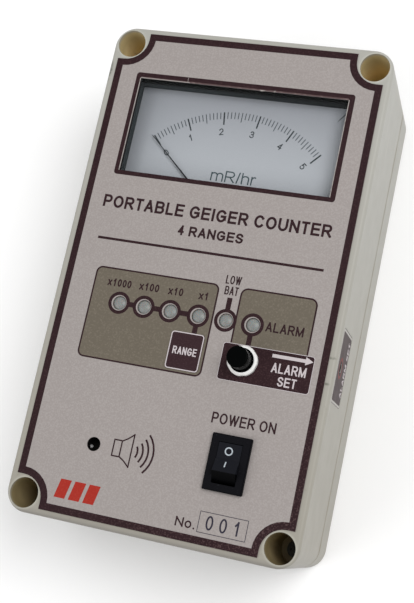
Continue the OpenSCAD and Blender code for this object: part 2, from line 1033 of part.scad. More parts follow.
module buzzer_disc() {
    color(steel)
        translate([buzzer_x, buzzer_y, 0]) {
            post(buzzer_r - 1.2, panel_in - buzzer_h + 2.6, panel_in - buzzer_h + 3);
            difference() {
                post(buzzer_r - 1.2, panel_in - buzzer_h + 1.2, panel_in - buzzer_h + 2.6);
                post(buzzer_r - 2.4, panel_in - buzzer_h + 1, panel_in - buzzer_h + 3);
            }
        }
}

// ---- alarm trimmer ----

module alarm_trimmer() {
    color([0.16, 0.28, 0.52])
        translate([case_w/2 - wall - 4.5, trimmer_y, trimmer_z])
            difference() {
                cube([4.8, trimmer_size, 2*(trimmer_z - main_z)], center = true);
                rotate([0, 90, 0])
                    cylinder(r = 1.9, h = 10);
            }
}

// Slotted brass adjuster that turns in the trimmer
module trimmer_screw() {
    color(brass)
        translate([case_w/2 - wall - 4.5, trimmer_y, trimmer_z])
            rotate([0, 90, 0])
                difference() {
                    post(1.9 - 0.05, 0.05, 3.2);
                    block(4.5, 0.7, 2.2, 4);
                }
}

// ---- boards ----

module main_board() {
    color(board_green)
        difference() {
            translate([0, main_y, 0])
                block(main_w, main_h, main_z - board_t, main_z);
            at_places(main_posts)
                post(1.2, main_z - 3, main_z + 1);
            translate([button_x, button_y, 0])
                post(button_body_r + 0.5, main_z - 3, main_z + 1);
            for (x = lamp_x, side = [-1, 1])
                translate([x, lamp_y + side*1.27, 0])
                    block(0.5, 0.5, main_z - 3, main_z + 1);
        }
}

// Screws of both boards, each into its moulded post
module board_screws() {
    color(steel) {
        at_places(main_posts)
            translate([0, 0, main_z - board_t])
                rotate([180, 0, 0])
                    translate([0, 0, 1.6])
                        small_screw(2.2, 1.6, 1.1, 7);
        at_places(hv_posts)
            translate([0, 0, hv_z + 1.6])
                small_screw(2.2, 1.6, 1.1, 6);
    }
}

// Dual in-line chip, legs up, that hangs below the main board
module logic_chip(pairs) {
    length = 2.54*pairs;
    block(length, 6.4, -3.8, -0.6);
    for (i = [0 : pairs - 1], side = [-1, 1])
        translate([2.54*(i - (pairs - 1)/2), side*3.5, 0])
            block(0.5, 0.6, -2.4, 0);
}

module logic_chips() {
    color(black)
        translate([0, 0, main_z - board_t])
            at_places([[-24, -32], [-24, -20], [-2, -7]])
                logic_chip(7);
}

module hv_board() {
    color(board_green)
        difference() {
            translate([0, (hv_y0 + hv_y1)/2, 0])
                block(hv_w, hv_y1 - hv_y0, hv_z - board_t, hv_z);
            at_places(hv_posts)
                post(1.2, hv_z - 3, hv_z + 1);
        }
}

// Ferrite frame of the high-voltage transformer
module hv_transformer() {
    color(ferrite)
        translate([-24, 28, 0])
            difference() {
                block(20, 16, hv_z, hv_z + 14);
                for (x = [-1, 1])
                    translate([x*5.4, 0, 0])
                        block(5.2, 18, hv_z + 3, hv_z + 11);
            }
}

// Winding round the middle limb of the transformer
module hv_coil() {
    color(copper)
        translate([-24, 28, 0])
            difference() {
                block(15.4, 21, hv_z + 3.1, hv_z + 10.9);
                block(5.6, 16, hv_z, hv_z + 14);
            }
}

module hv_capacitors() {
    color([0.55, 0.16, 0.12])
        for (i = [0 : 3])
            translate([-3 + 7*i, 28, hv_z + 5.2])
                rotate([0, 90, 0])
                    cylinder(r = 4.8, h = 3, center = true);
}

module smoothing_capacitors() {
    color([0.12, 0.18, 0.40])
        at_places([[33, 28], [33, 41]])
            difference() {
                post(4, hv_z, hv_z + 11.5);
                for (turn = [0, 90])
                    rotate([0, 0, turn])
                        block(6, 0.4, hv_z + 11.3, hv_z + 12);
            }
}

// ---- geiger tube ----

// Thin metal tube with a narrow stub at each end
module gm_tube() {
    color(steel)
        translate([0, tube_y, tube_z])
            rotate([0, 90, 0]) {
                cylinder(r = tube_r, h = tube_l, center = true);
                cylinder(r = 2.2, h = tube_l + 7.8, center = true);
            }
}

// Insulating end caps of the tube
module tube_caps() {
    color(black)
        for (x = [-1, 1])
            translate([x*(tube_l/2 + 2.5), tube_y, tube_z])
                rotate([0, 90, 0])
                    difference() {
                        cylinder(r = tube_r - 1, h = 5, center = true);
                        translate([0, 0, -x])
                            cylinder(r = 2.25, h = 5, center = true);
                    }
}

// Spring clips that hold the tube over the board
module tube_clips() {
    color(brass)
        for (x = [-1, 1])
            translate([x*clip_x, tube_y, 0]) {
                block(6, 10, hv_z, hv_z + 0.8);
                block(6, 2, hv_z, tube_z - tube_r - 0.4);
                translate([0, 0, tube_z])
                    rotate([0, 90, 0])
                        difference() {
                            cylinder(r = tube_r + 0.7, h = 6, center = true);
                            cylinder(r = tube_r + 0.05, h = 7, center = true);
                            translate([-tube_r - 4, 0, 0])
                                cube([16, 9, 7], center = true);
                        }
            }
}

// ---- battery and wires ----

module battery() {
    color(dark)
        translate([0, battery_y, battery_z + battery_t/2])
            rotate([90, 0, 0])
                linear_extrude(battery_l, center = true)
                    rounded_rect(battery_w, battery_t, 1.6);
}

// Plus and minus snap studs on the battery's end
module battery_terminals() {
    end = battery_y + battery_l/2;
    color(steel)
        for (x = [-1, 1])
            translate([x*6.35, end, terminal_z])
                rotate([-90, 0, 0])
                    cylinder(r = 2.8 + x*0.3, h = 2.4);
}

// Clip that presses onto the two studs
module battery_snap() {
    end = battery_y + battery_l/2;
    color(black)
        difference() {
            translate([-13, end + 0.2, terminal_z - 6])
                cube([26, 4.2, 12]);
            for (x = [-1, 1])
                translate([x*6.35, end - 1, terminal_z])
                    rotate([-90, 0, 0])
                        cylinder(r = 2.85 + x*0.3, h = 3.6);
        }
}

// The battery's two leads: to the power switch and to the main board
module battery_wires() {
    r = 0.55;
    under = main_z - board_t - bead*r - 0.05;
    end = battery_y + battery_l/2 + 4.5 + bead*r;
    color([0.60, 0.10, 0.08]) {
        wire([[7.2, end, terminal_z + 4], [7.2, pocket_y1 + 4, pocket_top - 3],
            [18, pocket_y1 + 4, 26], [switch_x, switch_y + 6, 34],
            [switch_x, switch_y + 4.5 + bead*r, 38]], r);
        wire([[9, end, terminal_z + 4], [9, pocket_y1 + 6, pocket_top - 3],
            [36, -32, 30], [36, -34, under]], r);
    }
}

// Leads of the meter, the buzzer, the alarm button, the switch and the tube, and a board link
module inner_wires() {
    r = 0.5;
    reach = bead*r + 0.05;
    under = main_z - board_t - reach;
    buzzer_back = panel_in - buzzer_h - reach;
    tube_end = tube_l/2 + 5 + reach;
    color([0.75, 0.75, 0.70]) {
        for (side = [-1, 1]) {
            wire([[side*stud_x, stud_y - 2 - reach, meter_floor - 5], [side*stud_x, -3, 33],
                [side*(stud_x + 6), -8, under]], r);
            wire([[buzzer_x + 5*side, buzzer_y + 8, buzzer_back], [buzzer_x + 5*side, -50, 40],
                [buzzer_x + 5*side, -43, under]], r);
            wire([[button_x + side*(2.8 + reach), button_y, panel_in - button_body_h - 5.4],
                [button_x + side*7, button_y - 4, 38],
                [button_x + side*10, button_y - 6, under]], r);
        }
        for (x = [12 : 2 : 18])
            wire([[x, -5, under], [x, -4, 27], [x, 6, hv_z + reach]], r);
        wire([[switch_x, switch_y - 3.6 + reach, 38], [switch_x + 6, switch_y + 4, 32],
            [29, -48, 34], [29, -42, under]], r);
        wire([[tube_end, tube_y, tube_z], [tube_end + 2, tube_y, tube_z],
            [tube_end + 2, 50, hv_z + reach]], r);
    }
}

// ---- what is drawn ----

front_shell();
rear_shell();
case_screws();
battery_cover();
front_label();
side_label();
meter_window();
meter_housing();
meter_screws();
dial_plate();
dial_screws();
meter_yoke();
meter_core();
meter_bridge();
jewel_screws();
meter_coil();
coil_staff();
needle();
upper_hairspring();
lower_hairspring();
meter_terminals();
led_x1000();
led_x100();
led_x10();
led_x1();
led_low_bat();
led_alarm();
led_leads();
range_key();
range_switch();
range_plunger();
alarm_button_cap();
alarm_button_bushing();
alarm_button_nut();
alarm_button_body();
alarm_button_spring();
alarm_button_terminals();
power_switch_frame();
power_rocker();
power_switch_terminals();
buzzer_case();
buzzer_disc();
alarm_trimmer();
trimmer_screw();
main_board();
board_screws();
logic_chips();
hv_board();
hv_transformer();
hv_coil();
hv_capacitors();
smoothing_capacitors();
gm_tube();
tube_caps();
tube_clips();
battery();
battery_terminals();
battery_snap();
battery_wires();
inner_wires();
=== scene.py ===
"""Looks of the hand-held geiger counter: printed labels, dial, materials, light and camera."""

import json
import math

import bpy
from mathutils import Matrix, Vector
from mathutils.geometry import delaunay_2d_cdt


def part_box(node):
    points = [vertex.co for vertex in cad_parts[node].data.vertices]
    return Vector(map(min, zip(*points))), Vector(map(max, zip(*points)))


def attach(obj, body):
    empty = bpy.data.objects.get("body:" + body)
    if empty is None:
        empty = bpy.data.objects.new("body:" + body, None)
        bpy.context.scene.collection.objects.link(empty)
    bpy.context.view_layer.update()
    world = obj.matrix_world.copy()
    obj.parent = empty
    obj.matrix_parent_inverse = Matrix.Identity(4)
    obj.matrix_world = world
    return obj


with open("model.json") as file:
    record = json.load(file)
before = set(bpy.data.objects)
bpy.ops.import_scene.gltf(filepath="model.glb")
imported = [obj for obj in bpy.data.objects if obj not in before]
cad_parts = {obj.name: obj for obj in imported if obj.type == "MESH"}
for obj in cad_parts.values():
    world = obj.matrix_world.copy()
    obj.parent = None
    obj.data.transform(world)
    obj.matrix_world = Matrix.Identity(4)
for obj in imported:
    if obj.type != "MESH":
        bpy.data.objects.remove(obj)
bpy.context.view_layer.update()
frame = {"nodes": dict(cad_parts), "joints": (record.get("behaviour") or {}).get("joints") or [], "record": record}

# Lengths are in millimetres, except in the section on the stage.
MM = 0.001
INK = 0.012  # height of one layer of print over the next
SMOOTH = 8  # points in a quarter of a printed arc


# ---- places, read from the frame ----


def box_mm(node):
    low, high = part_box(node)
    return low / MM, high / MM


def centre_mm(node):
    low, high = box_mm(node)
    return (low + high) / 2


def inside(node, margin):
    """The outline (x0, y0, x1, y1) of a node seen from above, less a margin on every side."""
    low, high = box_mm(node)
    return (low.x + margin, low.y + margin, high.x - margin, high.y - margin)


CASE_LOW = box_mm("front_shell")[0]
LABEL_HIGH = box_mm("front_label")[1]
FACE = LABEL_HIGH.z
NOTCH = 11.15  # cut in each corner of the label, from its edges
NOTCH_R = 8.5
LABEL_EDGE = 0.02  # from the label's edge to its print
BORDER = 2.65  # from the label's edge to the inside of its brown border

SCREWS_HIGH = box_mm("case_screws")[1]
SCREW_HEAD_R = 3.0
WELL_X = SCREWS_HIGH.x - SCREW_HEAD_R
WELL_Y = SCREWS_HIGH.y - SCREW_HEAD_R
WELL_R = 5.5
PARTING_Z = CASE_LOW.z
SEAM_SOFT = 2.4  # reach of the painted shade and dirt on each side of the parting line

PANE_Z = box_mm("meter_window")[0].z
PANE_LAP = 2.0  # edge of the pane that the panel hides
WINDOW = inside("meter_window", PANE_LAP)

RANGE_LAMPS = [centre_mm(n) for n in ("led_x1000", "led_x100", "led_x10", "led_x1")]
BATTERY_LAMP = centre_mm("led_low_bat")
ALARM_LAMP = centre_mm("led_alarm")
LAMPS = RANGE_LAMPS + [BATTERY_LAMP, ALARM_LAMP]
LAMP_Y = BATTERY_LAMP.y
LAMP_R = 2.95  # hole in the print, a little wider than the lamp
RING_R = 4.2
LINK = 1.9  # width of the bars that join the rings

KEY = centre_mm("range_key")
KEY_TOP = box_mm("range_key")[1].z
KEY_COLLAR = 1.0  # collar round the foot of the key, hidden by the panel
KEY_BOX = inside("range_key", KEY_COLLAR)
KEY_R = 1.1
KEY_SLACK = 0.03  # between the key and the print round it
BUTTON = centre_mm("alarm_button_nut")
SLEEVE_R = 4.7  # hole in the print, a little wider than the button's sleeve
SWITCH = centre_mm("power_switch_frame")

SOUNDER = centre_mm("buzzer_case")
SOUNDER_HOLE_R = 2.55
DISC_HIGHLIGHT = (SOUNDER.x - 3.8, SOUNDER.y - 0.7)  # painted highlight on the disc under the hole
DISC_HIGHLIGHT_R = 0.95

SIDE_LOW, SIDE_HIGH = box_mm("side_label")
SIDE = (SIDE_LOW + SIDE_HIGH) / 2
TRIMMER = centre_mm("trimmer_screw")
SIDE_HOLE_R = 1.65  # hole in the print of the side label
SIDE_WALL_X = SIDE_HIGH.x - 10.0  # the right-hand wall lies beyond this

DIAL_TOP = box_mm("dial_plate")[1].z
JOINTS = {joint["name"]: joint for joint in frame["joints"]}
ROCKER_PIVOT = Vector(JOINTS["rocker_tilt"]["pos_m"]) / MM
ROCKER_EDGE_Y = -3.05  # raised edge of the rocker, from its middle
ROCKER_SWING = math.radians(JOINTS["rocker_tilt"]["range_deg"][1])

# Dirty spots beside the label: x, y, radius, stretch along y, strength
EDGE_SCUFFS = (
    (-LABEL_HIGH.x - 2.4, 76.0, 1.5, 3.6, 0.85),
    (LABEL_HIGH.x + 0.8, -20.7, 1.9, 0.35, 0.6),
    (LABEL_HIGH.x + 0.5, -30.0, 1.6, 0.4, 0.6),
)


# ---- flat shapes, as loops of (x, y) points ----


def oval(x, y, radius_x, radius_y, start=0, end=360):
    """Points on an ellipse between two angles in degrees."""
    count = max(2, round(abs(end - start) / 90 * SMOOTH))
    angles = [math.radians(start + (end - start) * i / count) for i in range(count + 1)]
    return [(x + radius_x * math.cos(a), y + radius_y * math.sin(a)) for a in angles]


def arc(x, y, radius, start, end):
    return oval(x, y, radius, radius, start, end)


def circle(x, y, radius):
    return arc(x, y, radius, 0, 360)[:-1]


def rectangle(x0, y0, x1, y1, radius=0.0):
    if radius == 0:
        return [(x0, y0), (x1, y0), (x1, y1), (x0, y1)]
    points = arc(x1 - radius, y1 - radius, radius, 0, 90)
    points += arc(x0 + radius, y1 - radius, radius, 90, 180)
    points += arc(x0 + radius, y0 + radius, radius, 180, 270)
    points += arc(x1 - radius, y0 + radius, radius, 270, 360)
    return points


def grown(box, margin):
    """A box (x0, y0, x1, y1) made larger on every side."""
    x0, y0, x1, y1 = box
    return (x0 - margin, y0 - margin, x1 + margin, y1 + margin)


def notched(inset):
    """The label's outline moved inwards, with a round notch at each corner."""
    half_w = LABEL_HIGH.x - inset
    half_h = LABEL_HIGH.y - inset
    deep_x = LABEL_HIGH.x - NOTCH - inset
    deep_y = LABEL_HIGH.y - NOTCH - inset
    radius = NOTCH_R + inset
    quarter = [(half_w, deep_y)]
    quarter += arc(deep_x + radius, deep_y + radius, radius, 270, 180)
    quarter += [(deep_x, half_h)]
    points = list(quarter)
    points += [(-x, y) for x, y in reversed(quarter)]
    points += [(-x, -y) for x, y in quarter]
    points += [(x, -y) for x, y in reversed(quarter)]
    return points


SHARP = 0.8  # cosine of the turn above which a line's corner counts as sharp


def smooth_runs(points):
    """A line parted at its sharp corners."""
    spots = [Vector(points[0])]
    for point in points[1:]:
        if (Vector(point) - spots[-1]).length > 1e-4:
            spots.append(Vector(point))
    runs = [spots[:2]]
    for spot in spots[2:]:
        before, middle = runs[-1][-2:]
        if (middle - before).normalized().dot((spot - middle).normalized()) < SHARP:
            runs.append([middle])
        runs[-1].append(spot)
    return runs


def line(points, width, cap=0.0):
    """Band of even width along a line, as a list of short convex loops.

    At its ends and sharp corners it reaches cap times its width further. Where a bend is tighter
    than the band is wide, its inner corners would cross, so they become one.
    """
    loops = []
    for run in smooth_runs(points):
        steps = [(end - start).normalized() for start, end in zip(run, run[1:])]
        run = [run[0] - steps[0] * width * cap] + run[1:-1] + [run[-1] + steps[-1] * width * cap]
        sides = []
        for spot, before, after in zip(run, steps[:1] + steps, steps + steps[-1:]):
            along = (before + after).normalized()
            across = Vector((-along.y, along.x)) * (width / 2 / along.dot(after))
            sides.append((spot + across, spot - across))
        for (left0, right0), (left1, right1), step in zip(sides, sides[1:], steps):
            left, right = [left1, left0], [right0, right1]
            if (left1 - left0).dot(step) <= 0:
                left = [(left0 + left1) / 2]
            if (right1 - right0).dot(step) <= 0:
                right = [(right0 + right1) / 2]
            loops.append([tuple(spot) for spot in right + left])
    return loops


def outline(box, width, radius=0.0):
    """Closed line along the inside of a box (x0, y0, x1, y1)."""
    points = rectangle(*grown(box, -width / 2), max(radius - width / 2, 0.0))
    return line(points + points[:1], width, 0.5)


def clipped(loop, low, high):
    """The part of a convex loop between two heights."""
    for limit, side in ((low, 1), (high, -1)):
        kept = []
        for (x0, y0), (x1, y1) in zip(loop, loop[1:] + loop[:1]):
            inside0 = (y0 - limit) * side >= 0
            inside1 = (y1 - limit) * side >= 0
            if inside0:
                kept.append((x0, y0))
            if inside0 != inside1:
                kept.append((x0 + (x1 - x0) * (limit - y0) / (y1 - y0), limit))
        loop = kept
    return loop


# ---- lettering ----

# Each letter is its advance in cap heights, and its lines in a box from (0, 0) to (1, 1).
SMALL = 0.74  # height of small letters
LETTERS = {
    "A": (0.99, [[(0, 0), (0.5, 1), (1, 0)], [(0.16, 0.3), (0.84, 0.3)]]),
    "B": (
        1.0,
        [
            [(0, 0), (0, 1), (0.6, 1)] + oval(0.6, 0.76, 0.34, 0.24, 90, -90) + [(0, 0.52)],
            [(0, 0.52), (0.6, 0.52)] + oval(0.62, 0.26, 0.38, 0.26, 90, -90) + [(0, 0)],
        ],
    ),
    "C": (1.03, [oval(0.52, 0.5, 0.52, 0.5, 42, 318)]),
    "E": (0.93, [[(1, 1), (0, 1), (0, 0), (1, 0)], [(0, 0.52), (0.92, 0.52)]]),
    "G": (1.08, [oval(0.5, 0.5, 0.5, 0.5, 42, 325) + [(0.97, 0.22), (0.97, 0.47), (0.55, 0.47)]]),
    "I": (0.4, [[(0.5, 0), (0.5, 1)]]),
    "L": (0.86, [[(0, 1), (0, 0), (1, 0)]]),
    "M": (1.16, [[(0, 0), (0, 1), (0.5, 0.04), (1, 1), (1, 0)]]),
    "N": (1.0, [[(0, 0), (0, 1), (1, 0), (1, 1)]]),
    "O": (1.08, [oval(0.5, 0.5, 0.5, 0.5)]),
    "P": (0.94, [[(0, 0), (0, 1), (0.6, 1)] + oval(0.6, 0.72, 0.4, 0.28, 90, -90) + [(0, 0.44)]]),
    "R": (
        1.0,
        [
            [(0, 0), (0, 1), (0.62, 1)] + oval(0.62, 0.74, 0.35, 0.26, 90, -90) + [(0, 0.48)],
            [(0.52, 0.46), (1, 0)],
        ],
    ),
    "S": (
        0.94,
        [
            oval(0.5, 0.75, 0.46, 0.25, 15, 200) + [(0.3, 0.56), (0.7, 0.46)]
            + oval(0.5, 0.26, 0.5, 0.26, 20, -165),
        ],
    ),
    "T": (0.86, [[(0, 1), (1, 1)], [(0.5, 1), (0.5, 0)]]),
    "U": (1.0, [[(0, 1)] + oval(0.5, 0.38, 0.5, 0.38, 180, 360) + [(1, 1)]]),
    "W": (1.32, [[(0, 1), (0.26, 0), (0.5, 1), (0.74, 0), (1, 1)]]),
    "m": (
        1.24,
        [
            [(0, 0), (0, SMALL)],
            [(0, 0.4)] + oval(0.25, SMALL - 0.24, 0.25, 0.24, 180, 0) + [(0.5, 0)],
            [(0.5, 0.4)] + oval(0.75, SMALL - 0.24, 0.25, 0.24, 180, 0) + [(1, 0)],
        ],
    ),
    "r": (0.56, [[(0, 0), (0, SMALL)], oval(0.75, SMALL - 0.34, 0.75, 0.34, 180, 70)]),
    "h": (0.82, [[(0, 0), (0, 1)], oval(0.5, SMALL - 0.25, 0.5, 0.25, 180, 0) + [(1, 0)]]),
    "o": (0.85, [oval(0.5, SMALL / 2, 0.5, SMALL / 2)]),
    "x": (0.8, [[(0, 0), (1, SMALL)], [(0, SMALL), (1, 0)]]),
    "/": (0.44, [[(0, 0), (1, 1)]]),
    ".": (0.4, [[(0.5, 0), (0.5, 0.01)]]),
    "0": (0.78, [oval(0.5, 0.5, 0.5, 0.5)]),
    "1": (0.78, [[(0.2, 0.72), (0.6, 0.96)], [(0.6, 0), (0.6, 1)]]),
    "2": (0.78, [oval(0.5, 0.71, 0.48, 0.29, 170, -38) + [(0, 0), (1, 0)]]),
    "3": (
        0.78,
        [
            oval(0.48, 0.76, 0.44, 0.24, 165, -90) + [(0.36, 0.52)],
            [(0.36, 0.52)] + oval(0.5, 0.26, 0.5, 0.26, 85, -165),
        ],
    ),
    "4": (0.78, [[(0.72, 0), (0.72, 1), (0, 0.3), (1, 0.3)]]),
    "5": (0.78, [[(0.92, 1), (0.16, 1), (0.06, 0.5)] + oval(0.48, 0.33, 0.52, 0.33, 128, -160)]),
    " ": (0.4, []),
}
BEARING = 0.075  # space on each side of a letter


def words(text, x, y, cap, width, weight, turn=0.0):
    """Lettering centred on x with its baseline at y; turn is about that point, in degrees."""
    advances = [LETTERS[letter][0] for letter in text]
    unit = width / (sum(advances) - 2 * BEARING)
    pen = -unit * BEARING - width / 2
    loops = []
    for letter, advance in zip(text, advances):
        left = pen + unit * BEARING + weight / 2
        room = max(unit * (advance - 2 * BEARING) - weight, 0.0)
        for path in LETTERS[letter][1]:
            spots = [(left + room * u, weight / 2 + (cap - weight) * v) for u, v in path]
            loops += [clipped(loop, 0.0, cap) for loop in line(spots, weight, 0.5)]
        pen += unit * advance
    cosine = math.cos(math.radians(turn))
    sine = math.sin(math.radians(turn))
    return [
        [(x + u * cosine - v * sine, y + u * sine + v * cosine) for u, v in loop]
        for loop in loops
        if len(loop) > 2
    ]


# ---- meshes ----


def print_piece(name, loops, look, plane, layer, holes=(), body="case"):
    """One printed piece: the union of the loops less the holes, on a plane of the object."""
    spots, cells = [], []
    for loop in list(loops) + list(holes):
        cells.append(list(range(len(spots), len(spots) + len(loop))))
        spots += [Vector(point) for point in loop]
    corners, _, faces, _, _, sources = delaunay_2d_cdt(spots, [], cells, 1, 1e-5)
    first_hole = len(loops)
    faces = [face for face, found in zip(faces, sources) if found and max(found) < first_hole]
    height = (layer + 1) * INK
    mesh = bpy.data.meshes.new(name)
    mesh.from_pydata([(plane @ Vector((c.x, c.y, height))) * MM for c in corners], [], faces)
    mesh.materials.append(look)
    piece = bpy.data.objects.new(name, mesh)
    bpy.context.collection.objects.link(piece)
    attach(piece, body)


# ---- materials ----


def linear(red, green, blue):
    """Linear colour of 8-bit sRGB values."""
    return tuple(
        v / 12.92 if v <= 0.04045 else ((v + 0.055) / 1.055) ** 2.4
        for v in (red / 255, green / 255, blue / 255)
    ) + (1.0,)


WAVE_UNIT = 0.314  # distance between the bands of a wave texture at scale 1


class Look:
    """A Principled material whose patterns are laid out in the object's own space."""

    def __init__(self, name, colour, roughness, **sockets):
        self.material = bpy.data.materials.new(name)
        self.material.use_nodes = True
        self.nodes = self.material.node_tree.nodes
        self.links = self.material.node_tree.links
        self.shader = self.nodes["Principled BSDF"]
        self.shader.inputs["Base Color"].default_value = linear(*colour)
        self.shader.inputs["Roughness"].default_value = roughness
        for socket, value in sockets.items():
            self.shader.inputs[socket.replace("_", " ")].default_value = value
        self.place = self.nodes.new("ShaderNodeTexCoord").outputs["Object"]

    def stretched(self, x, y, z):
        """The object's coordinates, scaled by a different amount along each axis."""
        mapping = self.nodes.new("ShaderNodeMapping")
        mapping.inputs["Scale"].default_value = (x, y, z)
        self.links.new(self.place, mapping.inputs["Vector"])
        return mapping.outputs["Vector"]

    def noise(self, size, detail=3.0, place=None):
        """Noise whose features are about this many millimetres across."""
        node = self.nodes.new("ShaderNodeTexNoise")
        node.inputs["Scale"].default_value = 1 / (size * MM)
        node.inputs["Detail"].default_value = detail
        self.links.new(place or self.place, node.inputs["Vector"])
        return node.outputs["Fac"]

    def cells(self, size):
        """Distance to the middle of random cells of this size in millimetres."""
        node = self.nodes.new("ShaderNodeTexVoronoi")
        node.inputs["Scale"].default_value = 1 / (size * MM)
        self.links.new(self.place, node.inputs["Vector"])
        return node.outputs["Distance"]

    def waves(self, size, axis):
        """Even bands across one axis, this many millimetres apart."""
        node = self.nodes.new("ShaderNodeTexWave")
        node.bands_direction = axis
        node.inputs["Scale"].default_value = WAVE_UNIT / (size * MM)
        self.links.new(self.place, node.inputs["Vector"])
        return node.outputs["Fac"]

    def ramp(self, factor, low, high):
        """0 below low, 1 above high, and a straight slope between them."""
        node = self.nodes.new("ShaderNodeMapRange")
        node.inputs["From Min"].default_value = low
        node.inputs["From Max"].default_value = high
        self.links.new(factor, node.inputs["Value"])
        return node.outputs["Result"]

    def levels(self, factor, at_zero, at_one):
        """The factor turned into a number between two values."""
        node = self.nodes.new("ShaderNodeMapRange")
        node.inputs["To Min"].default_value = at_zero
        node.inputs["To Max"].default_value = at_one
        self.links.new(factor, node.inputs["Value"])
        return node.outputs["Result"]

    def math(self, operation, first, second=0.0):
        """One step of arithmetic on patterns or plain numbers."""
        node = self.nodes.new("ShaderNodeMath")
        node.operation = operation
        for socket, value in zip(node.inputs, (first, second)):
            if isinstance(value, float):
                socket.default_value = value
            else:
                self.links.new(value, socket)
        return node.outputs["Value"]

    def times(self, first, second):
        return self.math("MULTIPLY", first, second)

    def position(self, axis):
        """The object's x, y or z in millimetres."""
        split = self.nodes.new("ShaderNodeSeparateXYZ")
        self.links.new(self.place, split.inputs["Vector"])
        return self.times(split.outputs[axis], 1 / MM)

    def off_line(self, first, second, axes=("X", "Y"), mirrored=False, stretch=1.0):
        """Distance in millimetres to a line that meets these two axes at these places.

        The line is upright unless other axes are named. Mirrored takes the nearest of the four
        lines at (+-x, +-y); stretch above 1 lengthens the rounds of equal distance along the
        second axis.
        """
        squares = []
        for axis, centre, scale in ((axes[0], first, 1.0), (axes[1], second, stretch)):
            place = self.position(axis)
            if mirrored:
                place = self.math("ABSOLUTE", place)
            offset = self.times(self.math("SUBTRACT", place, centre), 1 / scale)
            squares.append(self.times(offset, offset))
        return self.math("SQRT", self.math("ADD", *squares))

    def blend(self, factor, colour):
        """Mixes another colour into the base colour where the factor is high."""
        node = self.nodes.new("ShaderNodeMix")
        node.data_type = "RGBA"
        self.links.new(factor, node.inputs["Factor"])
        base = self.shader.inputs["Base Color"]
        if base.is_linked:
            self.links.new(base.links[0].from_socket, node.inputs["A"])
        else:
            node.inputs["A"].default_value = base.default_value
        node.inputs["B"].default_value = linear(*colour)
        self.links.new(node.outputs["Result"], base)

    def rough(self, factor, at_zero, at_one):
        """Roughness that follows a pattern."""
        value = self.levels(factor, at_zero, at_one)
        self.links.new(value, self.shader.inputs["Roughness"])

    def bump(self, height, depth):
        """Relief of this depth in millimetres, added to any relief there is."""
        node = self.nodes.new("ShaderNodeBump")
        node.inputs["Distance"].default_value = depth * MM
        self.links.new(height, node.inputs["Height"])
        normal = self.shader.inputs["Normal"]
        if normal.is_linked:
            self.links.new(normal.links[0].from_socket, node.inputs["Normal"])
        self.links.new(node.outputs["Normal"], normal)


def foot_shade_and_edge_scuffs(look, height):
    """Painted shade on the foot of the case, and dirty scuffs on the edge of its front face."""
    # Painted shade: the strip along the foot is darkened, as it faces away from the light.
    foot = look.ramp(look.position("Y"), CASE_LOW.y + 2.5, CASE_LOW.y + 0.5)
    look.blend(look.times(foot, 0.7), (126, 122, 117))
    near_face = look.ramp(height, FACE - 3.5, FACE - 1.5)
    for x, y, radius, stretch, strength in EDGE_SCUFFS:
        worn = look.ramp(look.off_line(x, y, stretch=stretch), radius, 0.3 * radius)
        patchy = look.ramp(look.noise(1.6, 3), 0.3, 0.55)
        mark = look.times(look.times(worn, patchy), look.times(near_face, strength))
        look.blend(mark, (74, 78, 66))


def seam_shade_and_dirt(look, height):
    """Painted shade of the groove along the parting line, broken up with patchy dirt."""
    below = look.ramp(height, PARTING_Z - SEAM_SOFT, PARTING_Z)
    above = look.ramp(height, PARTING_Z + SEAM_SOFT, PARTING_Z)
    dirt = look.levels(look.noise(9, 2), 0.3, 0.9)
    # Painted shade: a darker band stands in for the shadow in the parting groove.
    look.blend(look.times(look.times(below, above), dirt), (122, 112, 88))


def ochre_wells_and_painted_light(look, height):
    """Painted highlights on the rims of the screw wells; inside they are ochre, painted paler deep down and
    painted darker and browner in the two at -Y.
    """
    from_well = look.off_line(WELL_X, WELL_Y, mirrored=True)
    near_rim = look.ramp(from_well, WELL_R + 0.9, WELL_R + 0.2)
    # Painted highlight: a pale ring along the rim of each well.
    rim_highlight = look.times(near_rim, look.ramp(height, FACE - 1.0, FACE - 0.4))
    look.blend(look.times(rim_highlight, look.levels(look.noise(3, 2), 0.0, 0.6)), (190, 190, 178))
    well = look.ramp(from_well, WELL_R + 0.3, WELL_R + 0.05)
    wall = look.times(well, look.ramp(height, FACE - 0.4, FACE - 2.5))
    look.blend(wall, (186, 170, 128))
    # Painted light: deep in the wells the colour is made paler, standing in for light reaching down.
    look.blend(look.times(well, look.ramp(height, FACE - 6, FACE - 16)), (250, 228, 176))
    # Painted shade: the two wells at -y are made darker and browner, as less light falls into them.
    lower = look.ramp(look.position("Y"), 0.0, -WELL_Y)
    look.blend(look.times(wall, look.times(lower, 0.6)), (92, 78, 52))


def painted_hole_shade(look, height):
    """Painted shade in the sounder's hole and the adjuster's hole: their insides are darkened."""
    from_sounder = look.off_line(SOUNDER.x, SOUNDER.y)
    hole = look.ramp(from_sounder, SOUNDER_HOLE_R + 0.5, SOUNDER_HOLE_R)
    # Painted shade: the wall of the sounder's hole is made near black.
    look.blend(look.times(hole, look.ramp(height, FACE, FACE - 0.5)), (14, 12, 12))
    from_trimmer = look.off_line(TRIMMER.y, TRIMMER.z, ("Y", "Z"))
    side_hole = look.ramp(from_trimmer, SIDE_HOLE_R + 0.4, SIDE_HOLE_R + 0.1)
    right_wall = look.ramp(look.position("X"), SIDE_WALL_X - 5.0, SIDE_WALL_X)
    # Painted shade: the shell round the adjuster's hole is darkened.
    look.blend(look.times(side_hole, right_wall), (30, 14, 16))


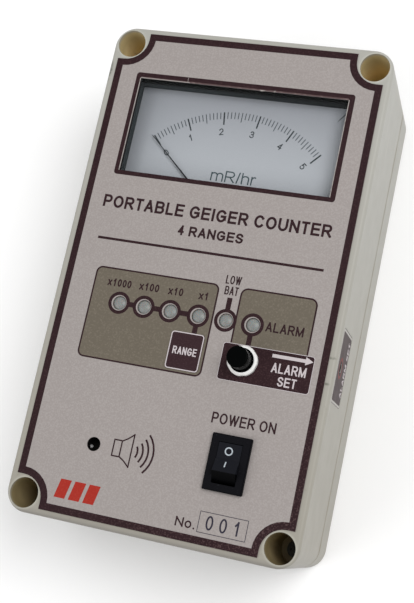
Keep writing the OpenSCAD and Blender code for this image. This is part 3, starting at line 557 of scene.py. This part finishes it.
def ivory_abs():
    """Moulded ABS with a fine spark texture, slight yellowing, dirt and scuffs, and painted shade and highlights.
    """
    look = Look("ivory_abs", (162, 161, 155), 0.42, Specular_IOR_Level=0.25)
    # Painted shade: the case grows darker towards its foot, where less light falls.
    look.blend(look.ramp(look.position("Y"), 60, CASE_LOW.y), (145, 140, 130))
    look.blend(look.levels(look.noise(38, 2), 0.0, 0.35), (152, 149, 136))
    look.blend(look.levels(look.noise(6, 4), 0.0, 0.2), (170, 169, 163))
    grime = look.ramp(look.noise(2.2, 5), 0.66, 0.78)
    look.blend(look.times(grime, 0.35), (116, 110, 94))
    scuff = look.ramp(look.noise(3, 2, look.stretched(1, 0.06, 1)), 0.70, 0.76)
    look.blend(look.times(scuff, 0.15), (196, 194, 188))
    height = look.position("Z")
    foot_shade_and_edge_scuffs(look, height)
    seam_shade_and_dirt(look, height)
    ochre_wells_and_painted_light(look, height)
    painted_hole_shade(look, height)
    look.rough(look.noise(9, 3), 0.34, 0.52)
    look.bump(look.noise(0.35, 3), 0.012)
    look.bump(look.noise(14, 2), 0.06)
    return look.material


def label_film():
    """Pinkish grey printed polycarbonate film with a fine matt grain."""
    look = Look("label_film", (153, 146, 143), 0.5, Specular_IOR_Level=0.15)
    look.blend(look.levels(look.noise(26, 2), 0.0, 0.4), (150, 145, 141))
    look.blend(look.levels(look.noise(4, 3), 0.0, 0.3), (144, 138, 133))
    look.blend(look.levels(look.noise(0.9, 3), 0.0, 0.6), (138, 130, 129))
    grain = look.ramp(look.noise(0.55, 2), 0.46, 0.62)
    look.blend(look.times(grain, 0.3), (172, 166, 163))
    specks = look.ramp(look.noise(0.7, 5), 0.72, 0.80)
    look.blend(look.times(specks, 0.5), (196, 192, 190))
    look.rough(look.noise(12, 3), 0.42, 0.56)
    look.bump(look.cells(0.32), 0.008)
    return look.material


def ink(name, colour, fleck, amount=0.5, grain=0.5, sparkle=0.0):
    """Screen-printed ink: its colour breaks up into fine flecks of another.

    Sparkle adds pale specks, more of them towards the lower right corner of the panel.
    """
    look = Look(name, colour, 0.5, Specular_IOR_Level=0.12)
    flecks = look.ramp(look.noise(grain, 4), 0.50, 0.74)
    look.blend(look.times(flecks, amount), fleck)
    if sparkle:
        specks = look.ramp(look.noise(0.5, 2), 0.54, 0.70)
        downwards = look.ramp(look.position("Y"), -20, -90)
        corner = look.times(downwards, look.ramp(look.position("X"), -40, 50))
        look.blend(look.times(look.times(specks, corner), sparkle), (120, 100, 98))
    look.blend(look.levels(look.noise(18, 2), 0.0, 0.12), fleck)
    look.rough(look.noise(5, 3), 0.42, 0.58)
    look.bump(look.cells(0.32), 0.008)
    return look.material


def side_film():
    """Light film of the side label, seen round its dark field."""
    look = Look("side_film", (174, 171, 165), 0.4, Specular_IOR_Level=0.3)
    look.blend(look.levels(look.noise(0.8, 3), 0.0, 0.5), (132, 126, 122))
    look.bump(look.cells(0.3), 0.006)
    return look.material


def clear_pane():
    """Clear acrylic with faint smears and a few specks of dust."""
    look = Look("clear_pane", (110, 114, 116), 0.06, Alpha=0.04, Specular_IOR_Level=0.15)
    look.rough(look.ramp(look.noise(9, 4), 0.45, 0.75), 0.03, 0.16)
    return look.material


def moulded_black(name, colour, roughness, dust=(92, 92, 96), gloss=0.12):
    """Satin black moulding with dust in its grain."""
    look = Look(name, colour, roughness, Specular_IOR_Level=gloss)
    spots = look.ramp(look.noise(0.9, 6), 0.64, 0.80)
    look.blend(look.times(spots, 0.3), dust)
    look.rough(look.noise(4, 3), roughness - 0.08, roughness + 0.12)
    look.bump(look.noise(0.3, 3), 0.01)
    return look.material


def meter_black():
    """Dark grey moulding of the meter, with painted shade: black under the pane and darker at its far right."""
    look = Look("meter_black", (56, 61, 63), 0.5, Specular_IOR_Level=0.0)
    look.blend(look.levels(look.noise(5, 3), 0.0, 0.5), (44, 48, 50))
    # Painted shade: the far wall of the meter, at high y and to the right, is made near black.
    far_wall_shade = look.ramp(look.position("Y"), WINDOW[3] - 4.0, WINDOW[3] - 2.5)
    look.blend(look.times(far_wall_shade, look.ramp(look.position("X"), -30, 50)), (16, 17, 18))
    # Painted shade: the top of the meter's walls, just under the pane, is made black.
    rim = look.ramp(look.position("Z"), PANE_Z - 1.7, PANE_Z - 1.1)
    look.blend(rim, (9, 9, 8))
    look.rough(look.noise(4, 3), 0.4, 0.6)
    look.bump(look.noise(0.3, 3), 0.01)
    return look.material


def rocker_black():
    """Satin rocker whose end below its raised edge is painted near black as shade."""
    look = Look("rocker_black", (23, 24, 29), 0.45, Specular_IOR_Level=0.06)
    spots = look.ramp(look.noise(0.9, 6), 0.66, 0.80)
    look.blend(look.times(spots, 0.25), (84, 84, 88))
    raised_y = SWITCH.y + ROCKER_EDGE_Y
    # Painted shade: the end face below the raised edge is made near black, as it faces away from the light.
    end = look.ramp(look.position("Y"), raised_y + 0.12, raised_y - 0.12)
    look.blend(end, (2, 2, 3))
    look.rough(look.noise(4, 3), 0.38, 0.55)
    look.bump(look.noise(0.3, 3), 0.01)
    return look.material


SCRATCH_X = 36.6  # left end of the dial's scratch
SCRATCH_SLOPE = 1.27
SCRATCH_Y = 21.6  # where its line would meet x = 0


def dial_paint():
    """Matt white paint of the dial, a little grey and bluish behind the pane.

    Painted shade darkens it towards the top and the left, and a fine scratch crosses its upper right corner.
    """
    look = Look("dial_paint", (174, 178, 183), 0.6, Specular_IOR_Level=0.2)
    # Painted shade: darker towards the top of the dial.
    look.blend(look.ramp(look.position("Y"), 47, 75), (138, 141, 147))
    # Painted shade: darker towards the left, most of all near its left edge.
    look.blend(look.times(look.ramp(look.position("X"), -12, -42), 0.4), (142, 146, 152))
    look.blend(look.times(look.ramp(look.position("X"), -35, -41), 0.7), (112, 115, 120))
    look.blend(look.levels(look.noise(16, 3), 0.0, 0.25), (156, 161, 168))
    look.blend(look.levels(look.noise(0.6, 3), 0.0, 0.2), (182, 185, 190))
    rise = look.times(look.position("X"), SCRATCH_SLOPE)
    across = look.math("SUBTRACT", rise, look.position("Y"))
    offset = look.math("ABSOLUTE", look.math("ADD", across, SCRATCH_Y))
    scratch = look.ramp(offset, 0.6, 0.15)
    right_end = look.ramp(look.position("X"), SCRATCH_X, SCRATCH_X + 1.0)
    look.blend(look.times(look.times(scratch, right_end), 0.8), (46, 50, 52))
    look.bump(look.noise(0.4, 3), 0.006)
    return look.material


def brushed(name, colour, roughness, stretch=(1, 30, 1)):
    """Metal with fine directional scratches and a few dull patches."""
    look = Look(name, colour, roughness, Metallic=1.0)
    lines = look.noise(2, 3, look.stretched(*stretch))
    look.blend(look.levels(lines, 0.0, 0.25), tuple(int(c * 0.7) for c in colour))
    look.rough(look.noise(3, 4), roughness - 0.07, roughness + 0.15)
    look.bump(lines, 0.01)
    return look.material


def shaded_disc_with_highlight():
    """Disc of the sounder, painted dark for the shade in its hole, with one painted highlight below the hole."""
    # Painted shade: the disc's dark base colour stands in for the shade in the hole.
    look = Look("sounder_plate", (30, 29, 27), 0.4, Specular_IOR_Level=0.2)
    look.blend(look.levels(look.noise(1.2, 3), 0.0, 0.5), (18, 18, 18))
    disc_highlight = look.ramp(look.off_line(*DISC_HIGHLIGHT, stretch=0.7), DISC_HIGHLIGHT_R, 0.6 * DISC_HIGHLIGHT_R)
    # Painted highlight: a white spot stands in for a glint on the disc.
    look.blend(disc_highlight, (255, 255, 255))
    look.rough(look.noise(1.5, 3), 0.3, 0.5)
    look.bump(look.noise(0.5, 3), 0.01)
    return look.material


def chrome():
    """Bright nickel plating, painted near white to stand in for its bright reflections, with small pits and wear.
    """
    # Painted highlight: a near-white, mostly non-metal base stands in for the plating's bright reflections.
    look = Look("chrome_painted_bright", (254, 254, 252), 0.2, Metallic=0.25)
    pits = look.ramp(look.noise(0.35, 4), 0.66, 0.78)
    look.blend(look.times(pits, 0.3), (150, 148, 142))
    look.rough(look.noise(1.5, 4), 0.12, 0.3)
    look.bump(pits, 0.01)
    return look.material


def lamp_lens():
    """Milky diffused lens with a paler, scuffed edge."""
    look = Look(
        "lamp_lens",
        (128, 130, 128),
        0.3,
        Specular_IOR_Level=0.3,
        Subsurface_Weight=0.2,
        Subsurface_Scale=0.0015,
    )
    look.blend(look.levels(look.noise(1.6, 3), 0.0, 0.5), (114, 117, 115))
    scuffs = look.ramp(look.noise(0.9, 4), 0.58, 0.72)
    look.blend(look.times(scuffs, 0.4), (158, 162, 158))
    look.rough(look.noise(0.8, 3), 0.22, 0.4)
    look.bump(look.noise(0.7, 3), 0.02)
    return look.material


def winding():
    """Enamelled copper wire, laid turn by turn."""
    look = Look("copper_winding", (178, 98, 52), 0.3, Metallic=1.0)
    turns = look.waves(0.35, "Z")
    look.blend(look.times(turns, 0.5), (96, 44, 20))
    look.blend(look.levels(look.noise(2, 3), 0.0, 0.4), (140, 66, 34))
    look.bump(turns, 0.08)
    return look.material


def circuit_board():
    """Green laminate with a pattern of lighter tracks and tinned pads."""
    look = Look("circuit_board", (20, 74, 40), 0.35)
    across = look.ramp(look.waves(1.3, "X"), 0.62, 0.70)
    along = look.ramp(look.noise(7, 0), 0.48, 0.52)
    look.blend(look.times(across, along), (44, 112, 62))
    pads = look.ramp(look.cells(3.2), 0.16, 0.10)
    look.blend(pads, (196, 196, 190))
    look.rough(look.noise(5, 3), 0.25, 0.45)
    look.bump(look.times(across, along), 0.03)
    return look.material


def plain_plastic(name, colour, roughness=0.35, darker=0.8):
    """Moulded or dipped plastic with soft mottling and a fine skin."""
    look = Look(name, colour, roughness)
    shade = tuple(int(c * darker) for c in colour)
    look.blend(look.levels(look.noise(3, 4), 0.0, 0.6), shade)
    look.rough(look.noise(2, 3), roughness - 0.08, roughness + 0.1)
    look.bump(look.noise(0.4, 3), 0.012)
    return look.material


def sintered(name, colour):
    """Dull grey sintered magnet alloy or ferrite with tiny pores."""
    look = Look(name, colour, 0.6, Metallic=0.3)
    pores = look.ramp(look.cells(0.5), 0.22, 0.10)
    look.blend(pores, (14, 14, 16))
    look.blend(look.levels(look.noise(4, 4), 0.0, 0.4), (110, 110, 112))
    look.bump(look.noise(0.4, 4), 0.03)
    return look.material


SLOT_LOOKS = {
    "shell": ivory_abs(),
    "panel_label": label_film(),
    "side_film": side_film(),
    "clear_pane": clear_pane(),
    "meter_black": meter_black(),
    "dial_face": dial_paint(),
    "steel": brushed("zinc_steel", (176, 176, 172), 0.3),
    "tube_steel": brushed("tube_steel", (160, 162, 166), 0.28, (30, 1, 1)),
    "sounder_plate": shaded_disc_with_highlight(),
    "brass": brushed("brass", (190, 150, 72), 0.3),
    "copper_wire": winding(),
    "magnet": sintered("magnet_alloy", (86, 86, 90)),
    "ferrite": sintered("ferrite", (52, 52, 56)),
    "pointer_black": moulded_black("pointer_black", (20, 22, 24), 0.5),
    "lamp_white": lamp_lens(),
    "key_brown": ink("key_brown", (46, 28, 32), (78, 58, 62), 0.4),
    "black_plastic": moulded_black("moulded_black", (27, 27, 31), 0.42),
    "chrome": chrome(),
    "trimmer_blue": plain_plastic("trimmer_blue", (40, 70, 132)),
    "board": circuit_board(),
    "film_capacitor": plain_plastic("dipped_resin", (140, 42, 30), 0.25),
    "can_capacitor": plain_plastic("capacitor_sleeve", (32, 46, 104), 0.3),
    "battery_jacket": plain_plastic("battery_jacket", (44, 46, 50), 0.3),
    "lead_red": plain_plastic("red_insulation", (150, 26, 20), 0.4),
    "lead_grey": plain_plastic("pale_insulation", (190, 188, 176), 0.4),
}


# Nodes whose finish differs from the rest of their slot
NODE_LOOKS = {
    "power_switch_frame": moulded_black("bezel_black", (12, 12, 16), 0.5, (78, 78, 84), 0.06),
    "power_rocker": rocker_black(),
    "alarm_button_cap": moulded_black("cap_black", (5, 6, 6), 0.25, (24, 26, 26), 0.01),
    # Painted reflection: the button's plated sleeve is made near black, standing in for the black cap it reflects.
    "alarm_button_bushing": moulded_black("sleeve_painted_reflection", (4, 4, 5), 0.3, (24, 26, 26), 0.0),
    "case_screws": brushed("blackened_steel", (54, 52, 48), 0.35),
    "trimmer_screw": moulded_black("trimmer_black", (22, 18, 18), 0.4, (60, 50, 50)),
}


def dress_nodes():
    """Gives every CAD node the material of its slot, or its own."""
    for part in frame["record"]["subparts"]:
        node = frame["nodes"][part["node"]]
        if not node.material_slots:
            node.data.materials.append(None)
        for place in node.material_slots:
            place.material = NODE_LOOKS.get(part["node"], SLOT_LOOKS[part["material_slot"]])


BROWN = ink("print_brown", (37, 19, 23), (76, 54, 56), 0.45, sparkle=0.4)
OLIVE = ink("print_olive", (98, 91, 80), (124, 116, 104), 0.6, 0.6)
PALE = ink("print_pale", (190, 182, 184), (160, 152, 154), 0.4)
RED = ink("print_red", (152, 38, 28), (170, 66, 54), 0.5)
DARK = ink("print_dark", (40, 38, 50), (78, 76, 86), 0.4)
GREY = ink("dial_print", (34, 40, 44), (70, 76, 80), 0.6, 0.3)
FINE_GREY = ink("dial_fine_print", (66, 72, 78), (96, 102, 108), 0.6, 0.3)
TEAL = ink("dial_unit_print", (52, 68, 72), (84, 98, 102), 0.6, 0.3)
WORN_EDGE = ink("film_worn_edge", (80, 62, 63), (134, 118, 114), 0.7, 1.5)
CUT_EDGE = ink("film_cut_edge", (160, 154, 150), (90, 80, 78), 0.8, 1.5)
ROCKER_SIGN = ink("rocker_print", (174, 182, 188), (128, 136, 142), 0.5)
SIDE_DARK = ink("side_print", (62, 49, 51), (88, 74, 74), 0.5)
SIDE_RED = ink("side_red_print", (104, 40, 40), (126, 70, 68), 0.5)
SIDE_BLACK = ink("side_black_print", (20, 7, 10), (44, 22, 26), 0.5)
SIDE_EDGE = ink("side_edge_print", (66, 60, 56), (104, 98, 92), 0.5)


# ---- front panel print ----

PANEL = Matrix.Translation((0, 0, FACE))
OLIVE_LEFT = (-40.4, -35.7, 7.9, -1.0)
OLIVE_RIGHT = (16.3, -21.4, 44.3, -1.2)
ALARM_BOX = (13.7, -35.0, 47.4, -21.4)
NUMBER_BOX = (18.2, -88.5, 35.8, -81.1)
FRAME_BOX = (-42.8, 35.0, 43.1, 76.5)
PANEL_R = 2.5  # corners of the olive fields
BOX_R = 1.15  # corners of the alarm box and of the window's frame
CUT_EDGE_W = 0.28  # bare edge of the film at the left and right of the window
WORN_X = -21.0  # right end of the bare edge along the window's top
OUTLINE = 0.6  # width of the line round the olive fields
STALK = 4.2  # bar above the battery lamp's ring


def panel_holes():
    """Holes in the print for the lamps, and for the range key, which sinks in when pressed."""
    holes = [circle(lamp.x, LAMP_Y, LAMP_R) for lamp in LAMPS]
    holes.append(rectangle(*grown(KEY_BOX, KEY_SLACK), KEY_R))
    return holes


def alarm_panel():
    """Field behind the alarm lamp: rounded at the top, open at the foot."""
    x0, y0, x1, y1 = OLIVE_RIGHT
    right = arc(x1 - PANEL_R, y1 - PANEL_R, PANEL_R, 0, 90)
    left = arc(x0 + PANEL_R, y1 - PANEL_R, PANEL_R, 90, 180)
    return [(x1, y0)] + right + left + [(x0, y0)]


def lamp_rings():
    """Rings round the lamps, and the bars that join them to each other and the keys."""
    shapes = [circle(lamp.x, LAMP_Y, RING_R) for lamp in LAMPS]
    shapes.append(rectangle(LAMPS[0].x, LAMP_Y - LINK / 2, LAMPS[3].x, LAMP_Y + LINK / 2))
    for lamp, end in (
        (RANGE_LAMPS[-1], KEY_BOX[3]),
        (ALARM_LAMP, ALARM_BOX[3]),
        (BATTERY_LAMP, LAMP_Y + RING_R + STALK),
    ):
        shapes += line([(lamp.x, LAMP_Y), (lamp.x, end)], LINK)
    return shapes


def titles():
    """Two generic title lines and the rule under them."""
    shapes = words("PORTABLE GEIGER COUNTER", 0.1, 21.8, 4.8, 88.4, 0.92)
    shapes += words("4 RANGES", 0.1, 14.9, 3.8, 25.1, 0.78)
    shapes += line([(-42.9, 9.7), (44.1, 9.7)], 0.95)
    return shapes


def legends():
    """Small legends of the lamps, the switch and the number."""
    shapes = []
    for text, x, y, cap, width, weight in (
        ("x1000", -30.2, -7.9, 2.9, 9.3, 0.52),
        ("x100", -18.5, -7.7, 2.9, 7.7, 0.52),
        ("x10", -8.1, -7.7, 2.9, 5.7, 0.52),
        ("x1", 2.7, -7.7, 2.9, 3.7, 0.52),
        ("LOW", 12.5, -0.4, 3.2, 5.8, 0.46),
        ("BAT", 12.5, -4.4, 3.2, 5.1, 0.46),
        ("ALARM", 34.6, -15.3, 3.5, 13.9, 0.58),
        ("POWER ON", 26.9, -50.5, 3.9, 23.5, 0.62),
        ("No.", 13.7, -87.9, 3.3, 7.4, 0.56),
    ):
        shapes += words(text, x, y, cap, width, weight)
    return shapes


def speaker_sign():
    """Outline of a loudspeaker with four sound waves."""
    thin = 0.5
    magnet = (-18.6, -69.0, -15.2, -62.7)
    mouth_x = -11.35
    upper = [(magnet[2], -62.9), (-13.4, -61.8), (mouth_x, -60.0)]
    lower = [(mouth_x, -71.7), (-13.4, -69.9), (magnet[2], -68.8)]
    shapes = outline(magnet, thin) + line(upper + lower, thin, 0.5)
    for wave in range(4):
        half = 31 + 4.2 * wave
        shapes += line(arc(-12.9, -65.9, 3.85 + 2.0 * wave, -half, half), 0.7)
    return shapes


def plain_mark():
    """A plain slanted mark of three bars, which stands in for a maker's sign."""
    low, high, lean, step, wide = -87.2, -80.4, 1.4, 5.6, 4.2
    lefts = [-36.4 + step * i for i in range(3)]
    return [
        [(x, low), (x + wide, low), (x + wide + lean, high), (x + lean, high)] for x in lefts
    ]


def alarm_arrow():
    """Arrow towards the adjuster in the right-hand wall."""
    y = -23.4
    shaft = rectangle(32.1, y - 0.62, 44.3, y + 0.62)
    head = [(44.2, y - 1.5), (47.0, y), (44.2, y + 1.5)]
    return [shaft, head]


def print_fields():
    """Olive fields behind the lamps, and the brown border of the label."""
    fields = [rectangle(*OLIVE_LEFT, PANEL_R), alarm_panel()]
    print_piece("print_olive_fields", fields, OLIVE, PANEL, 0, panel_holes())
    border = notched(LABEL_EDGE)
    print_piece("print_border", [border], BROWN, PANEL, 1, [notched(BORDER)])


def print_window():
    """Brown frame of the meter window, and the bare, worn edges of the film there."""
    x0, y0, x1, y1 = WINDOW
    window_frame = rectangle(*FRAME_BOX, BOX_R)
    opening = rectangle(x0 - CUT_EDGE_W, y0, x1 + CUT_EDGE_W, y1)
    print_piece("print_window_frame", [window_frame], BROWN, PANEL, 1, [opening])
    cut_edges = [
        rectangle(x0 - CUT_EDGE_W, y0, x0, y1),
        rectangle(x1, y0, x1 + CUT_EDGE_W, y1),
    ]
    print_piece("label_cut_edges", cut_edges, CUT_EDGE, PANEL, 1)
    worn_edge = rectangle(x0, y1, x1, y1 + 0.5)
    print_piece("label_worn_edge", [worn_edge], WORN_EDGE, PANEL, 2)
    shreds = [
        rectangle(x0, y1, WORN_X, y1 + 0.25),
        rectangle(WORN_X - 0.9, y1, WORN_X - 0.74, y1 + 2.0),
        [(6.6, y1 + 0.2), (7.6, y1 - 0.35), (9.4, y1 + 0.2)],
        [(12.2, y1 + 0.2), (12.7, y1 - 0.45), (13.0, y1 + 0.6)],
    ]
    print_piece("label_film_shreds", shreds, CUT_EDGE, PANEL, 3)


def print_lines():
    """Outlines, lamp rings, titles, legends and the loudspeaker sign."""
    lines = outline(OLIVE_LEFT, OUTLINE, PANEL_R) + line(alarm_panel(), OUTLINE)
    lines += lamp_rings() + titles() + legends() + speaker_sign()
    print_piece("print_brown_lines", lines, BROWN, PANEL, 1, panel_holes())


def print_alarm_box():
    """Brown field round the button, with its pale rim, arrow and legend."""
    sleeve = circle(BUTTON.x, BUTTON.y, SLEEVE_R)
    field = rectangle(*ALARM_BOX, BOX_R)
    print_piece("print_alarm_box", [field], BROWN, PANEL, 2, [sleeve])
    pale = outline(ALARM_BOX, 0.2, BOX_R) + alarm_arrow()
    pale += words("ALARM", 38.9, -29.3, 3.5, 12.5, 0.54)
    pale += words("SET", 39.1, -33.8, 3.4, 6.8, 0.54)
    print_piece("print_pale_lines", pale, PALE, PANEL, 3, [sleeve])


def print_mark_and_number():
    """The plain red mark, and a neutral number in its box."""
    print_piece("print_red_mark", plain_mark(), RED, PANEL, 1)
    number = outline(NUMBER_BOX, 0.22) + words("0 0 1", 27.2, -87.2, 5.0, 12.6, 0.62)
    print_piece("print_number", number, DARK, PANEL, 1)


def print_key():
    """Outline and legend of the range key, which move with it."""
    plane = Matrix.Translation((0, 0, KEY_TOP))
    shapes = outline(KEY_BOX, 0.38, 1.2)
    shapes += words("RANGE", KEY.x, KEY.y - 1.35, 2.8, 9.1, 0.46)
    print_piece("key_legend", shapes, PALE, plane, 0, body="range_key")


# ---- meter dial ----

SCALE_X = 0.1  # centre of the printed scale, which is not quite the needle's pivot
SCALE_Y = 18.75
SCALE_R = 48.8
SCALE_START = 42.8  # degrees left of the dial's middle
SCALE_SWEEP = 85.4


def on_scale(radius, turn):
    """A point of the scale; turn is in degrees to the left of the dial's middle."""
    return arc(SCALE_X, SCALE_Y, radius, 90 + turn, 90 + turn)[0]


def print_dial():
    """Scale, numbers and unit on the dial."""
    plane = Matrix.Translation((0, 0, DIAL_TOP))
    strong, fine = [], []
    marks = 50
    for i in range(marks + 1):
        turn = SCALE_START - SCALE_SWEEP * i / marks
        if i % 10 == 0:
            strong += line([on_scale(SCALE_R - 5.1, turn), on_scale(SCALE_R, turn)], 0.56)
            radius, lean = (38.5, -0.5) if i == 0 else (39.6, 1.1)
            foot = on_scale(radius, turn + lean)
            strong += words(str(i // 10), *foot, 2.7, 1.7, 0.38, turn + 1)
        else:
            length = 3.9 if i % 5 == 0 else 2.7
            fine += line([on_scale(SCALE_R - length, turn), on_scale(SCALE_R, turn)], 0.34)
    print_piece("dial_scale", strong, GREY, plane, 0)
    print_piece("dial_fine_scale", fine, FINE_GREY, plane, 0)
    unit = words("mR/hr", 1.7, 39.5, 4.45, 17.7, 0.5)
    print_piece("dial_unit", unit, TEAL, plane, 0)


# ---- rocker ----

PIVOT_DROP = 6.0  # pivot of the rocker below the top of its bezel


def print_rocker():
    """O on the flush half of the rocker, I on its raised half."""
    valley = PIVOT_DROP * math.tan(ROCKER_SWING / 2)
    flush = Matrix.Translation((SWITCH.x, SWITCH.y + valley, ROCKER_PIVOT.z + PIVOT_DROP))
    raised = flush @ Matrix.Rotation(-ROCKER_SWING, 4, "X")
    ring_sign = line(circle(-0.2, 2.7, 1.25) + [(1.05, 2.7)], 0.44)
    bar_sign = [rectangle(-0.52, -3.4, -0.06, -1.2)]
    for name, shapes, plane in (("off", ring_sign, flush), ("on", bar_sign, raised)):
        print_piece(
            f"rocker_{name}_sign", shapes, ROCKER_SIGN, plane, 0, body="rocker"
        )


# ---- side label ----

FIELD_EDGE = 1.1  # bare film round the dark field
FIELD_FOOT = 0.6  # bare film below it


def print_side():
    """Dark field, lettering and a dull red ring round the adjuster's hole."""
    plane = Matrix(
        (
            (0, 0, 1, SIDE_HIGH.x),
            (1, 0, 0, SIDE.y),
            (0, 1, 0, SIDE.z),
            (0, 0, 0, 1),
        )
    )
    half_w = (SIDE_HIGH.y - SIDE_LOW.y) / 2
    half_h = (SIDE_HIGH.z - SIDE_LOW.z) / 2
    hole = (TRIMMER.y - SIDE.y, TRIMMER.z - SIDE.z)
    half_field = half_w - FIELD_EDGE
    field = rectangle(-half_field, FIELD_FOOT - half_h, half_field, half_h - FIELD_EDGE, 0.8)
    rings = [circle(*hole, radius) for radius in (3.9, 2.7, SIDE_HOLE_R)]
    for name, outer, inner, look in (
        ("side_field", [field], rings[:1], SIDE_DARK),
        ("side_ring", rings[:1], rings[1:2], SIDE_RED),
        ("side_inner_ring", rings[1:2], rings[2:], SIDE_BLACK),
    ):
        print_piece(name, outer, look, plane, 0, inner)
    rim = outline((0.1 - half_w, 0.1 - half_h, half_w - 0.1, half_h - 0.1), 0.24)
    print_piece("side_edge", rim, SIDE_EDGE, plane, 0)
    legend = words("ALARM SET", 0.5, -8.6, 3.4, 20.3, 0.6)
    print_piece("side_legend", legend, PALE, plane, 1)


# ---- stage, in metres ----

FLOOR_HALF = 12.0
WORLD_STRENGTH = 0.62
SENSOR_H = 36.0  # height of the camera's sensor in millimetres
LENS = 63.522388  # focal length in millimetres
LENS_SHIFT = (-0.064, 0.0272)
CAMERA_PLACE = Vector((0.11663, -0.07550, 0.42191))
CAMERA_RIGHT = Vector((0.9540, 0.2039, -0.2198))
CAMERA_AHEAD = Vector((-0.2553, 0.1680, -0.9522))


def add_floor():
    """Pale paper, much wider than the object."""
    mesh = bpy.data.meshes.new("floor")
    corners = rectangle(-FLOOR_HALF, -FLOOR_HALF, FLOOR_HALF, FLOOR_HALF)
    mesh.from_pydata([(x, y, 0) for x, y in corners], [], [(0, 1, 2, 3)])
    look = Look("floor_paper", (250, 250, 250), 0.8)
    look.blend(look.levels(look.noise(60, 2), 0.0, 0.1), (244, 244, 244))
    mesh.materials.append(look.material)
    floor = bpy.data.objects.new("floor", mesh)
    bpy.context.collection.objects.link(floor)


def add_light(name, place, target, size, power):
    """A round lamp turned towards its target; places are in metres, power in watts."""
    light = bpy.data.lights.new(name, "AREA")
    light.shape = "DISK"
    light.size = size
    light.energy = power
    lamp = bpy.data.objects.new(name, light)
    lamp.location = place
    lamp.rotation_euler = (Vector(target) - Vector(place)).to_track_quat("-Z", "Y").to_euler()
    bpy.context.collection.objects.link(lamp)


def add_lights():
    """Even white surroundings, a soft key lamp and a weaker one from the other side."""
    world = bpy.data.worlds.new("studio")
    world.use_nodes = True
    world.node_tree.nodes["Background"].inputs["Color"].default_value = (1, 1, 1, 1)
    world.node_tree.nodes["Background"].inputs["Strength"].default_value = WORLD_STRENGTH
    bpy.context.scene.world = world
    target = (0, 0, FACE * MM)
    add_light("key", (0.55, 0.25, 0.95), target, 0.7, 7.0)
    add_light("fill", (-0.7, -0.5, 0.7), target, 0.9, 3.0)


def add_camera():
    """The photograph's camera, fitted to the label's corners and the outline of the case."""
    camera = bpy.data.cameras.new("camera")
    camera.sensor_fit = "VERTICAL"
    camera.sensor_height = SENSOR_H
    camera.lens = LENS
    camera.shift_x, camera.shift_y = LENS_SHIFT
    camera.clip_start = 0.01
    ahead = CAMERA_AHEAD.normalized()
    up = CAMERA_RIGHT.cross(ahead).normalized()
    right = ahead.cross(up)
    place = CAMERA_PLACE
    eye = bpy.data.objects.new("camera", camera)
    eye.matrix_world = Matrix(
        (
            (right.x, up.x, -ahead.x, place.x),
            (right.y, up.y, -ahead.y, place.y),
            (right.z, up.z, -ahead.z, place.z),
            (0, 0, 0, 1),
        )
    )
    bpy.context.collection.objects.link(eye)
    bpy.context.scene.camera = eye
    bpy.context.scene.view_settings.view_transform = "Standard"


dress_nodes()
print_fields()
print_window()
print_lines()
print_alarm_box()
print_mark_and_number()
print_key()
print_dial()
print_rocker()
print_side()
add_floor()
add_lights()
add_camera()
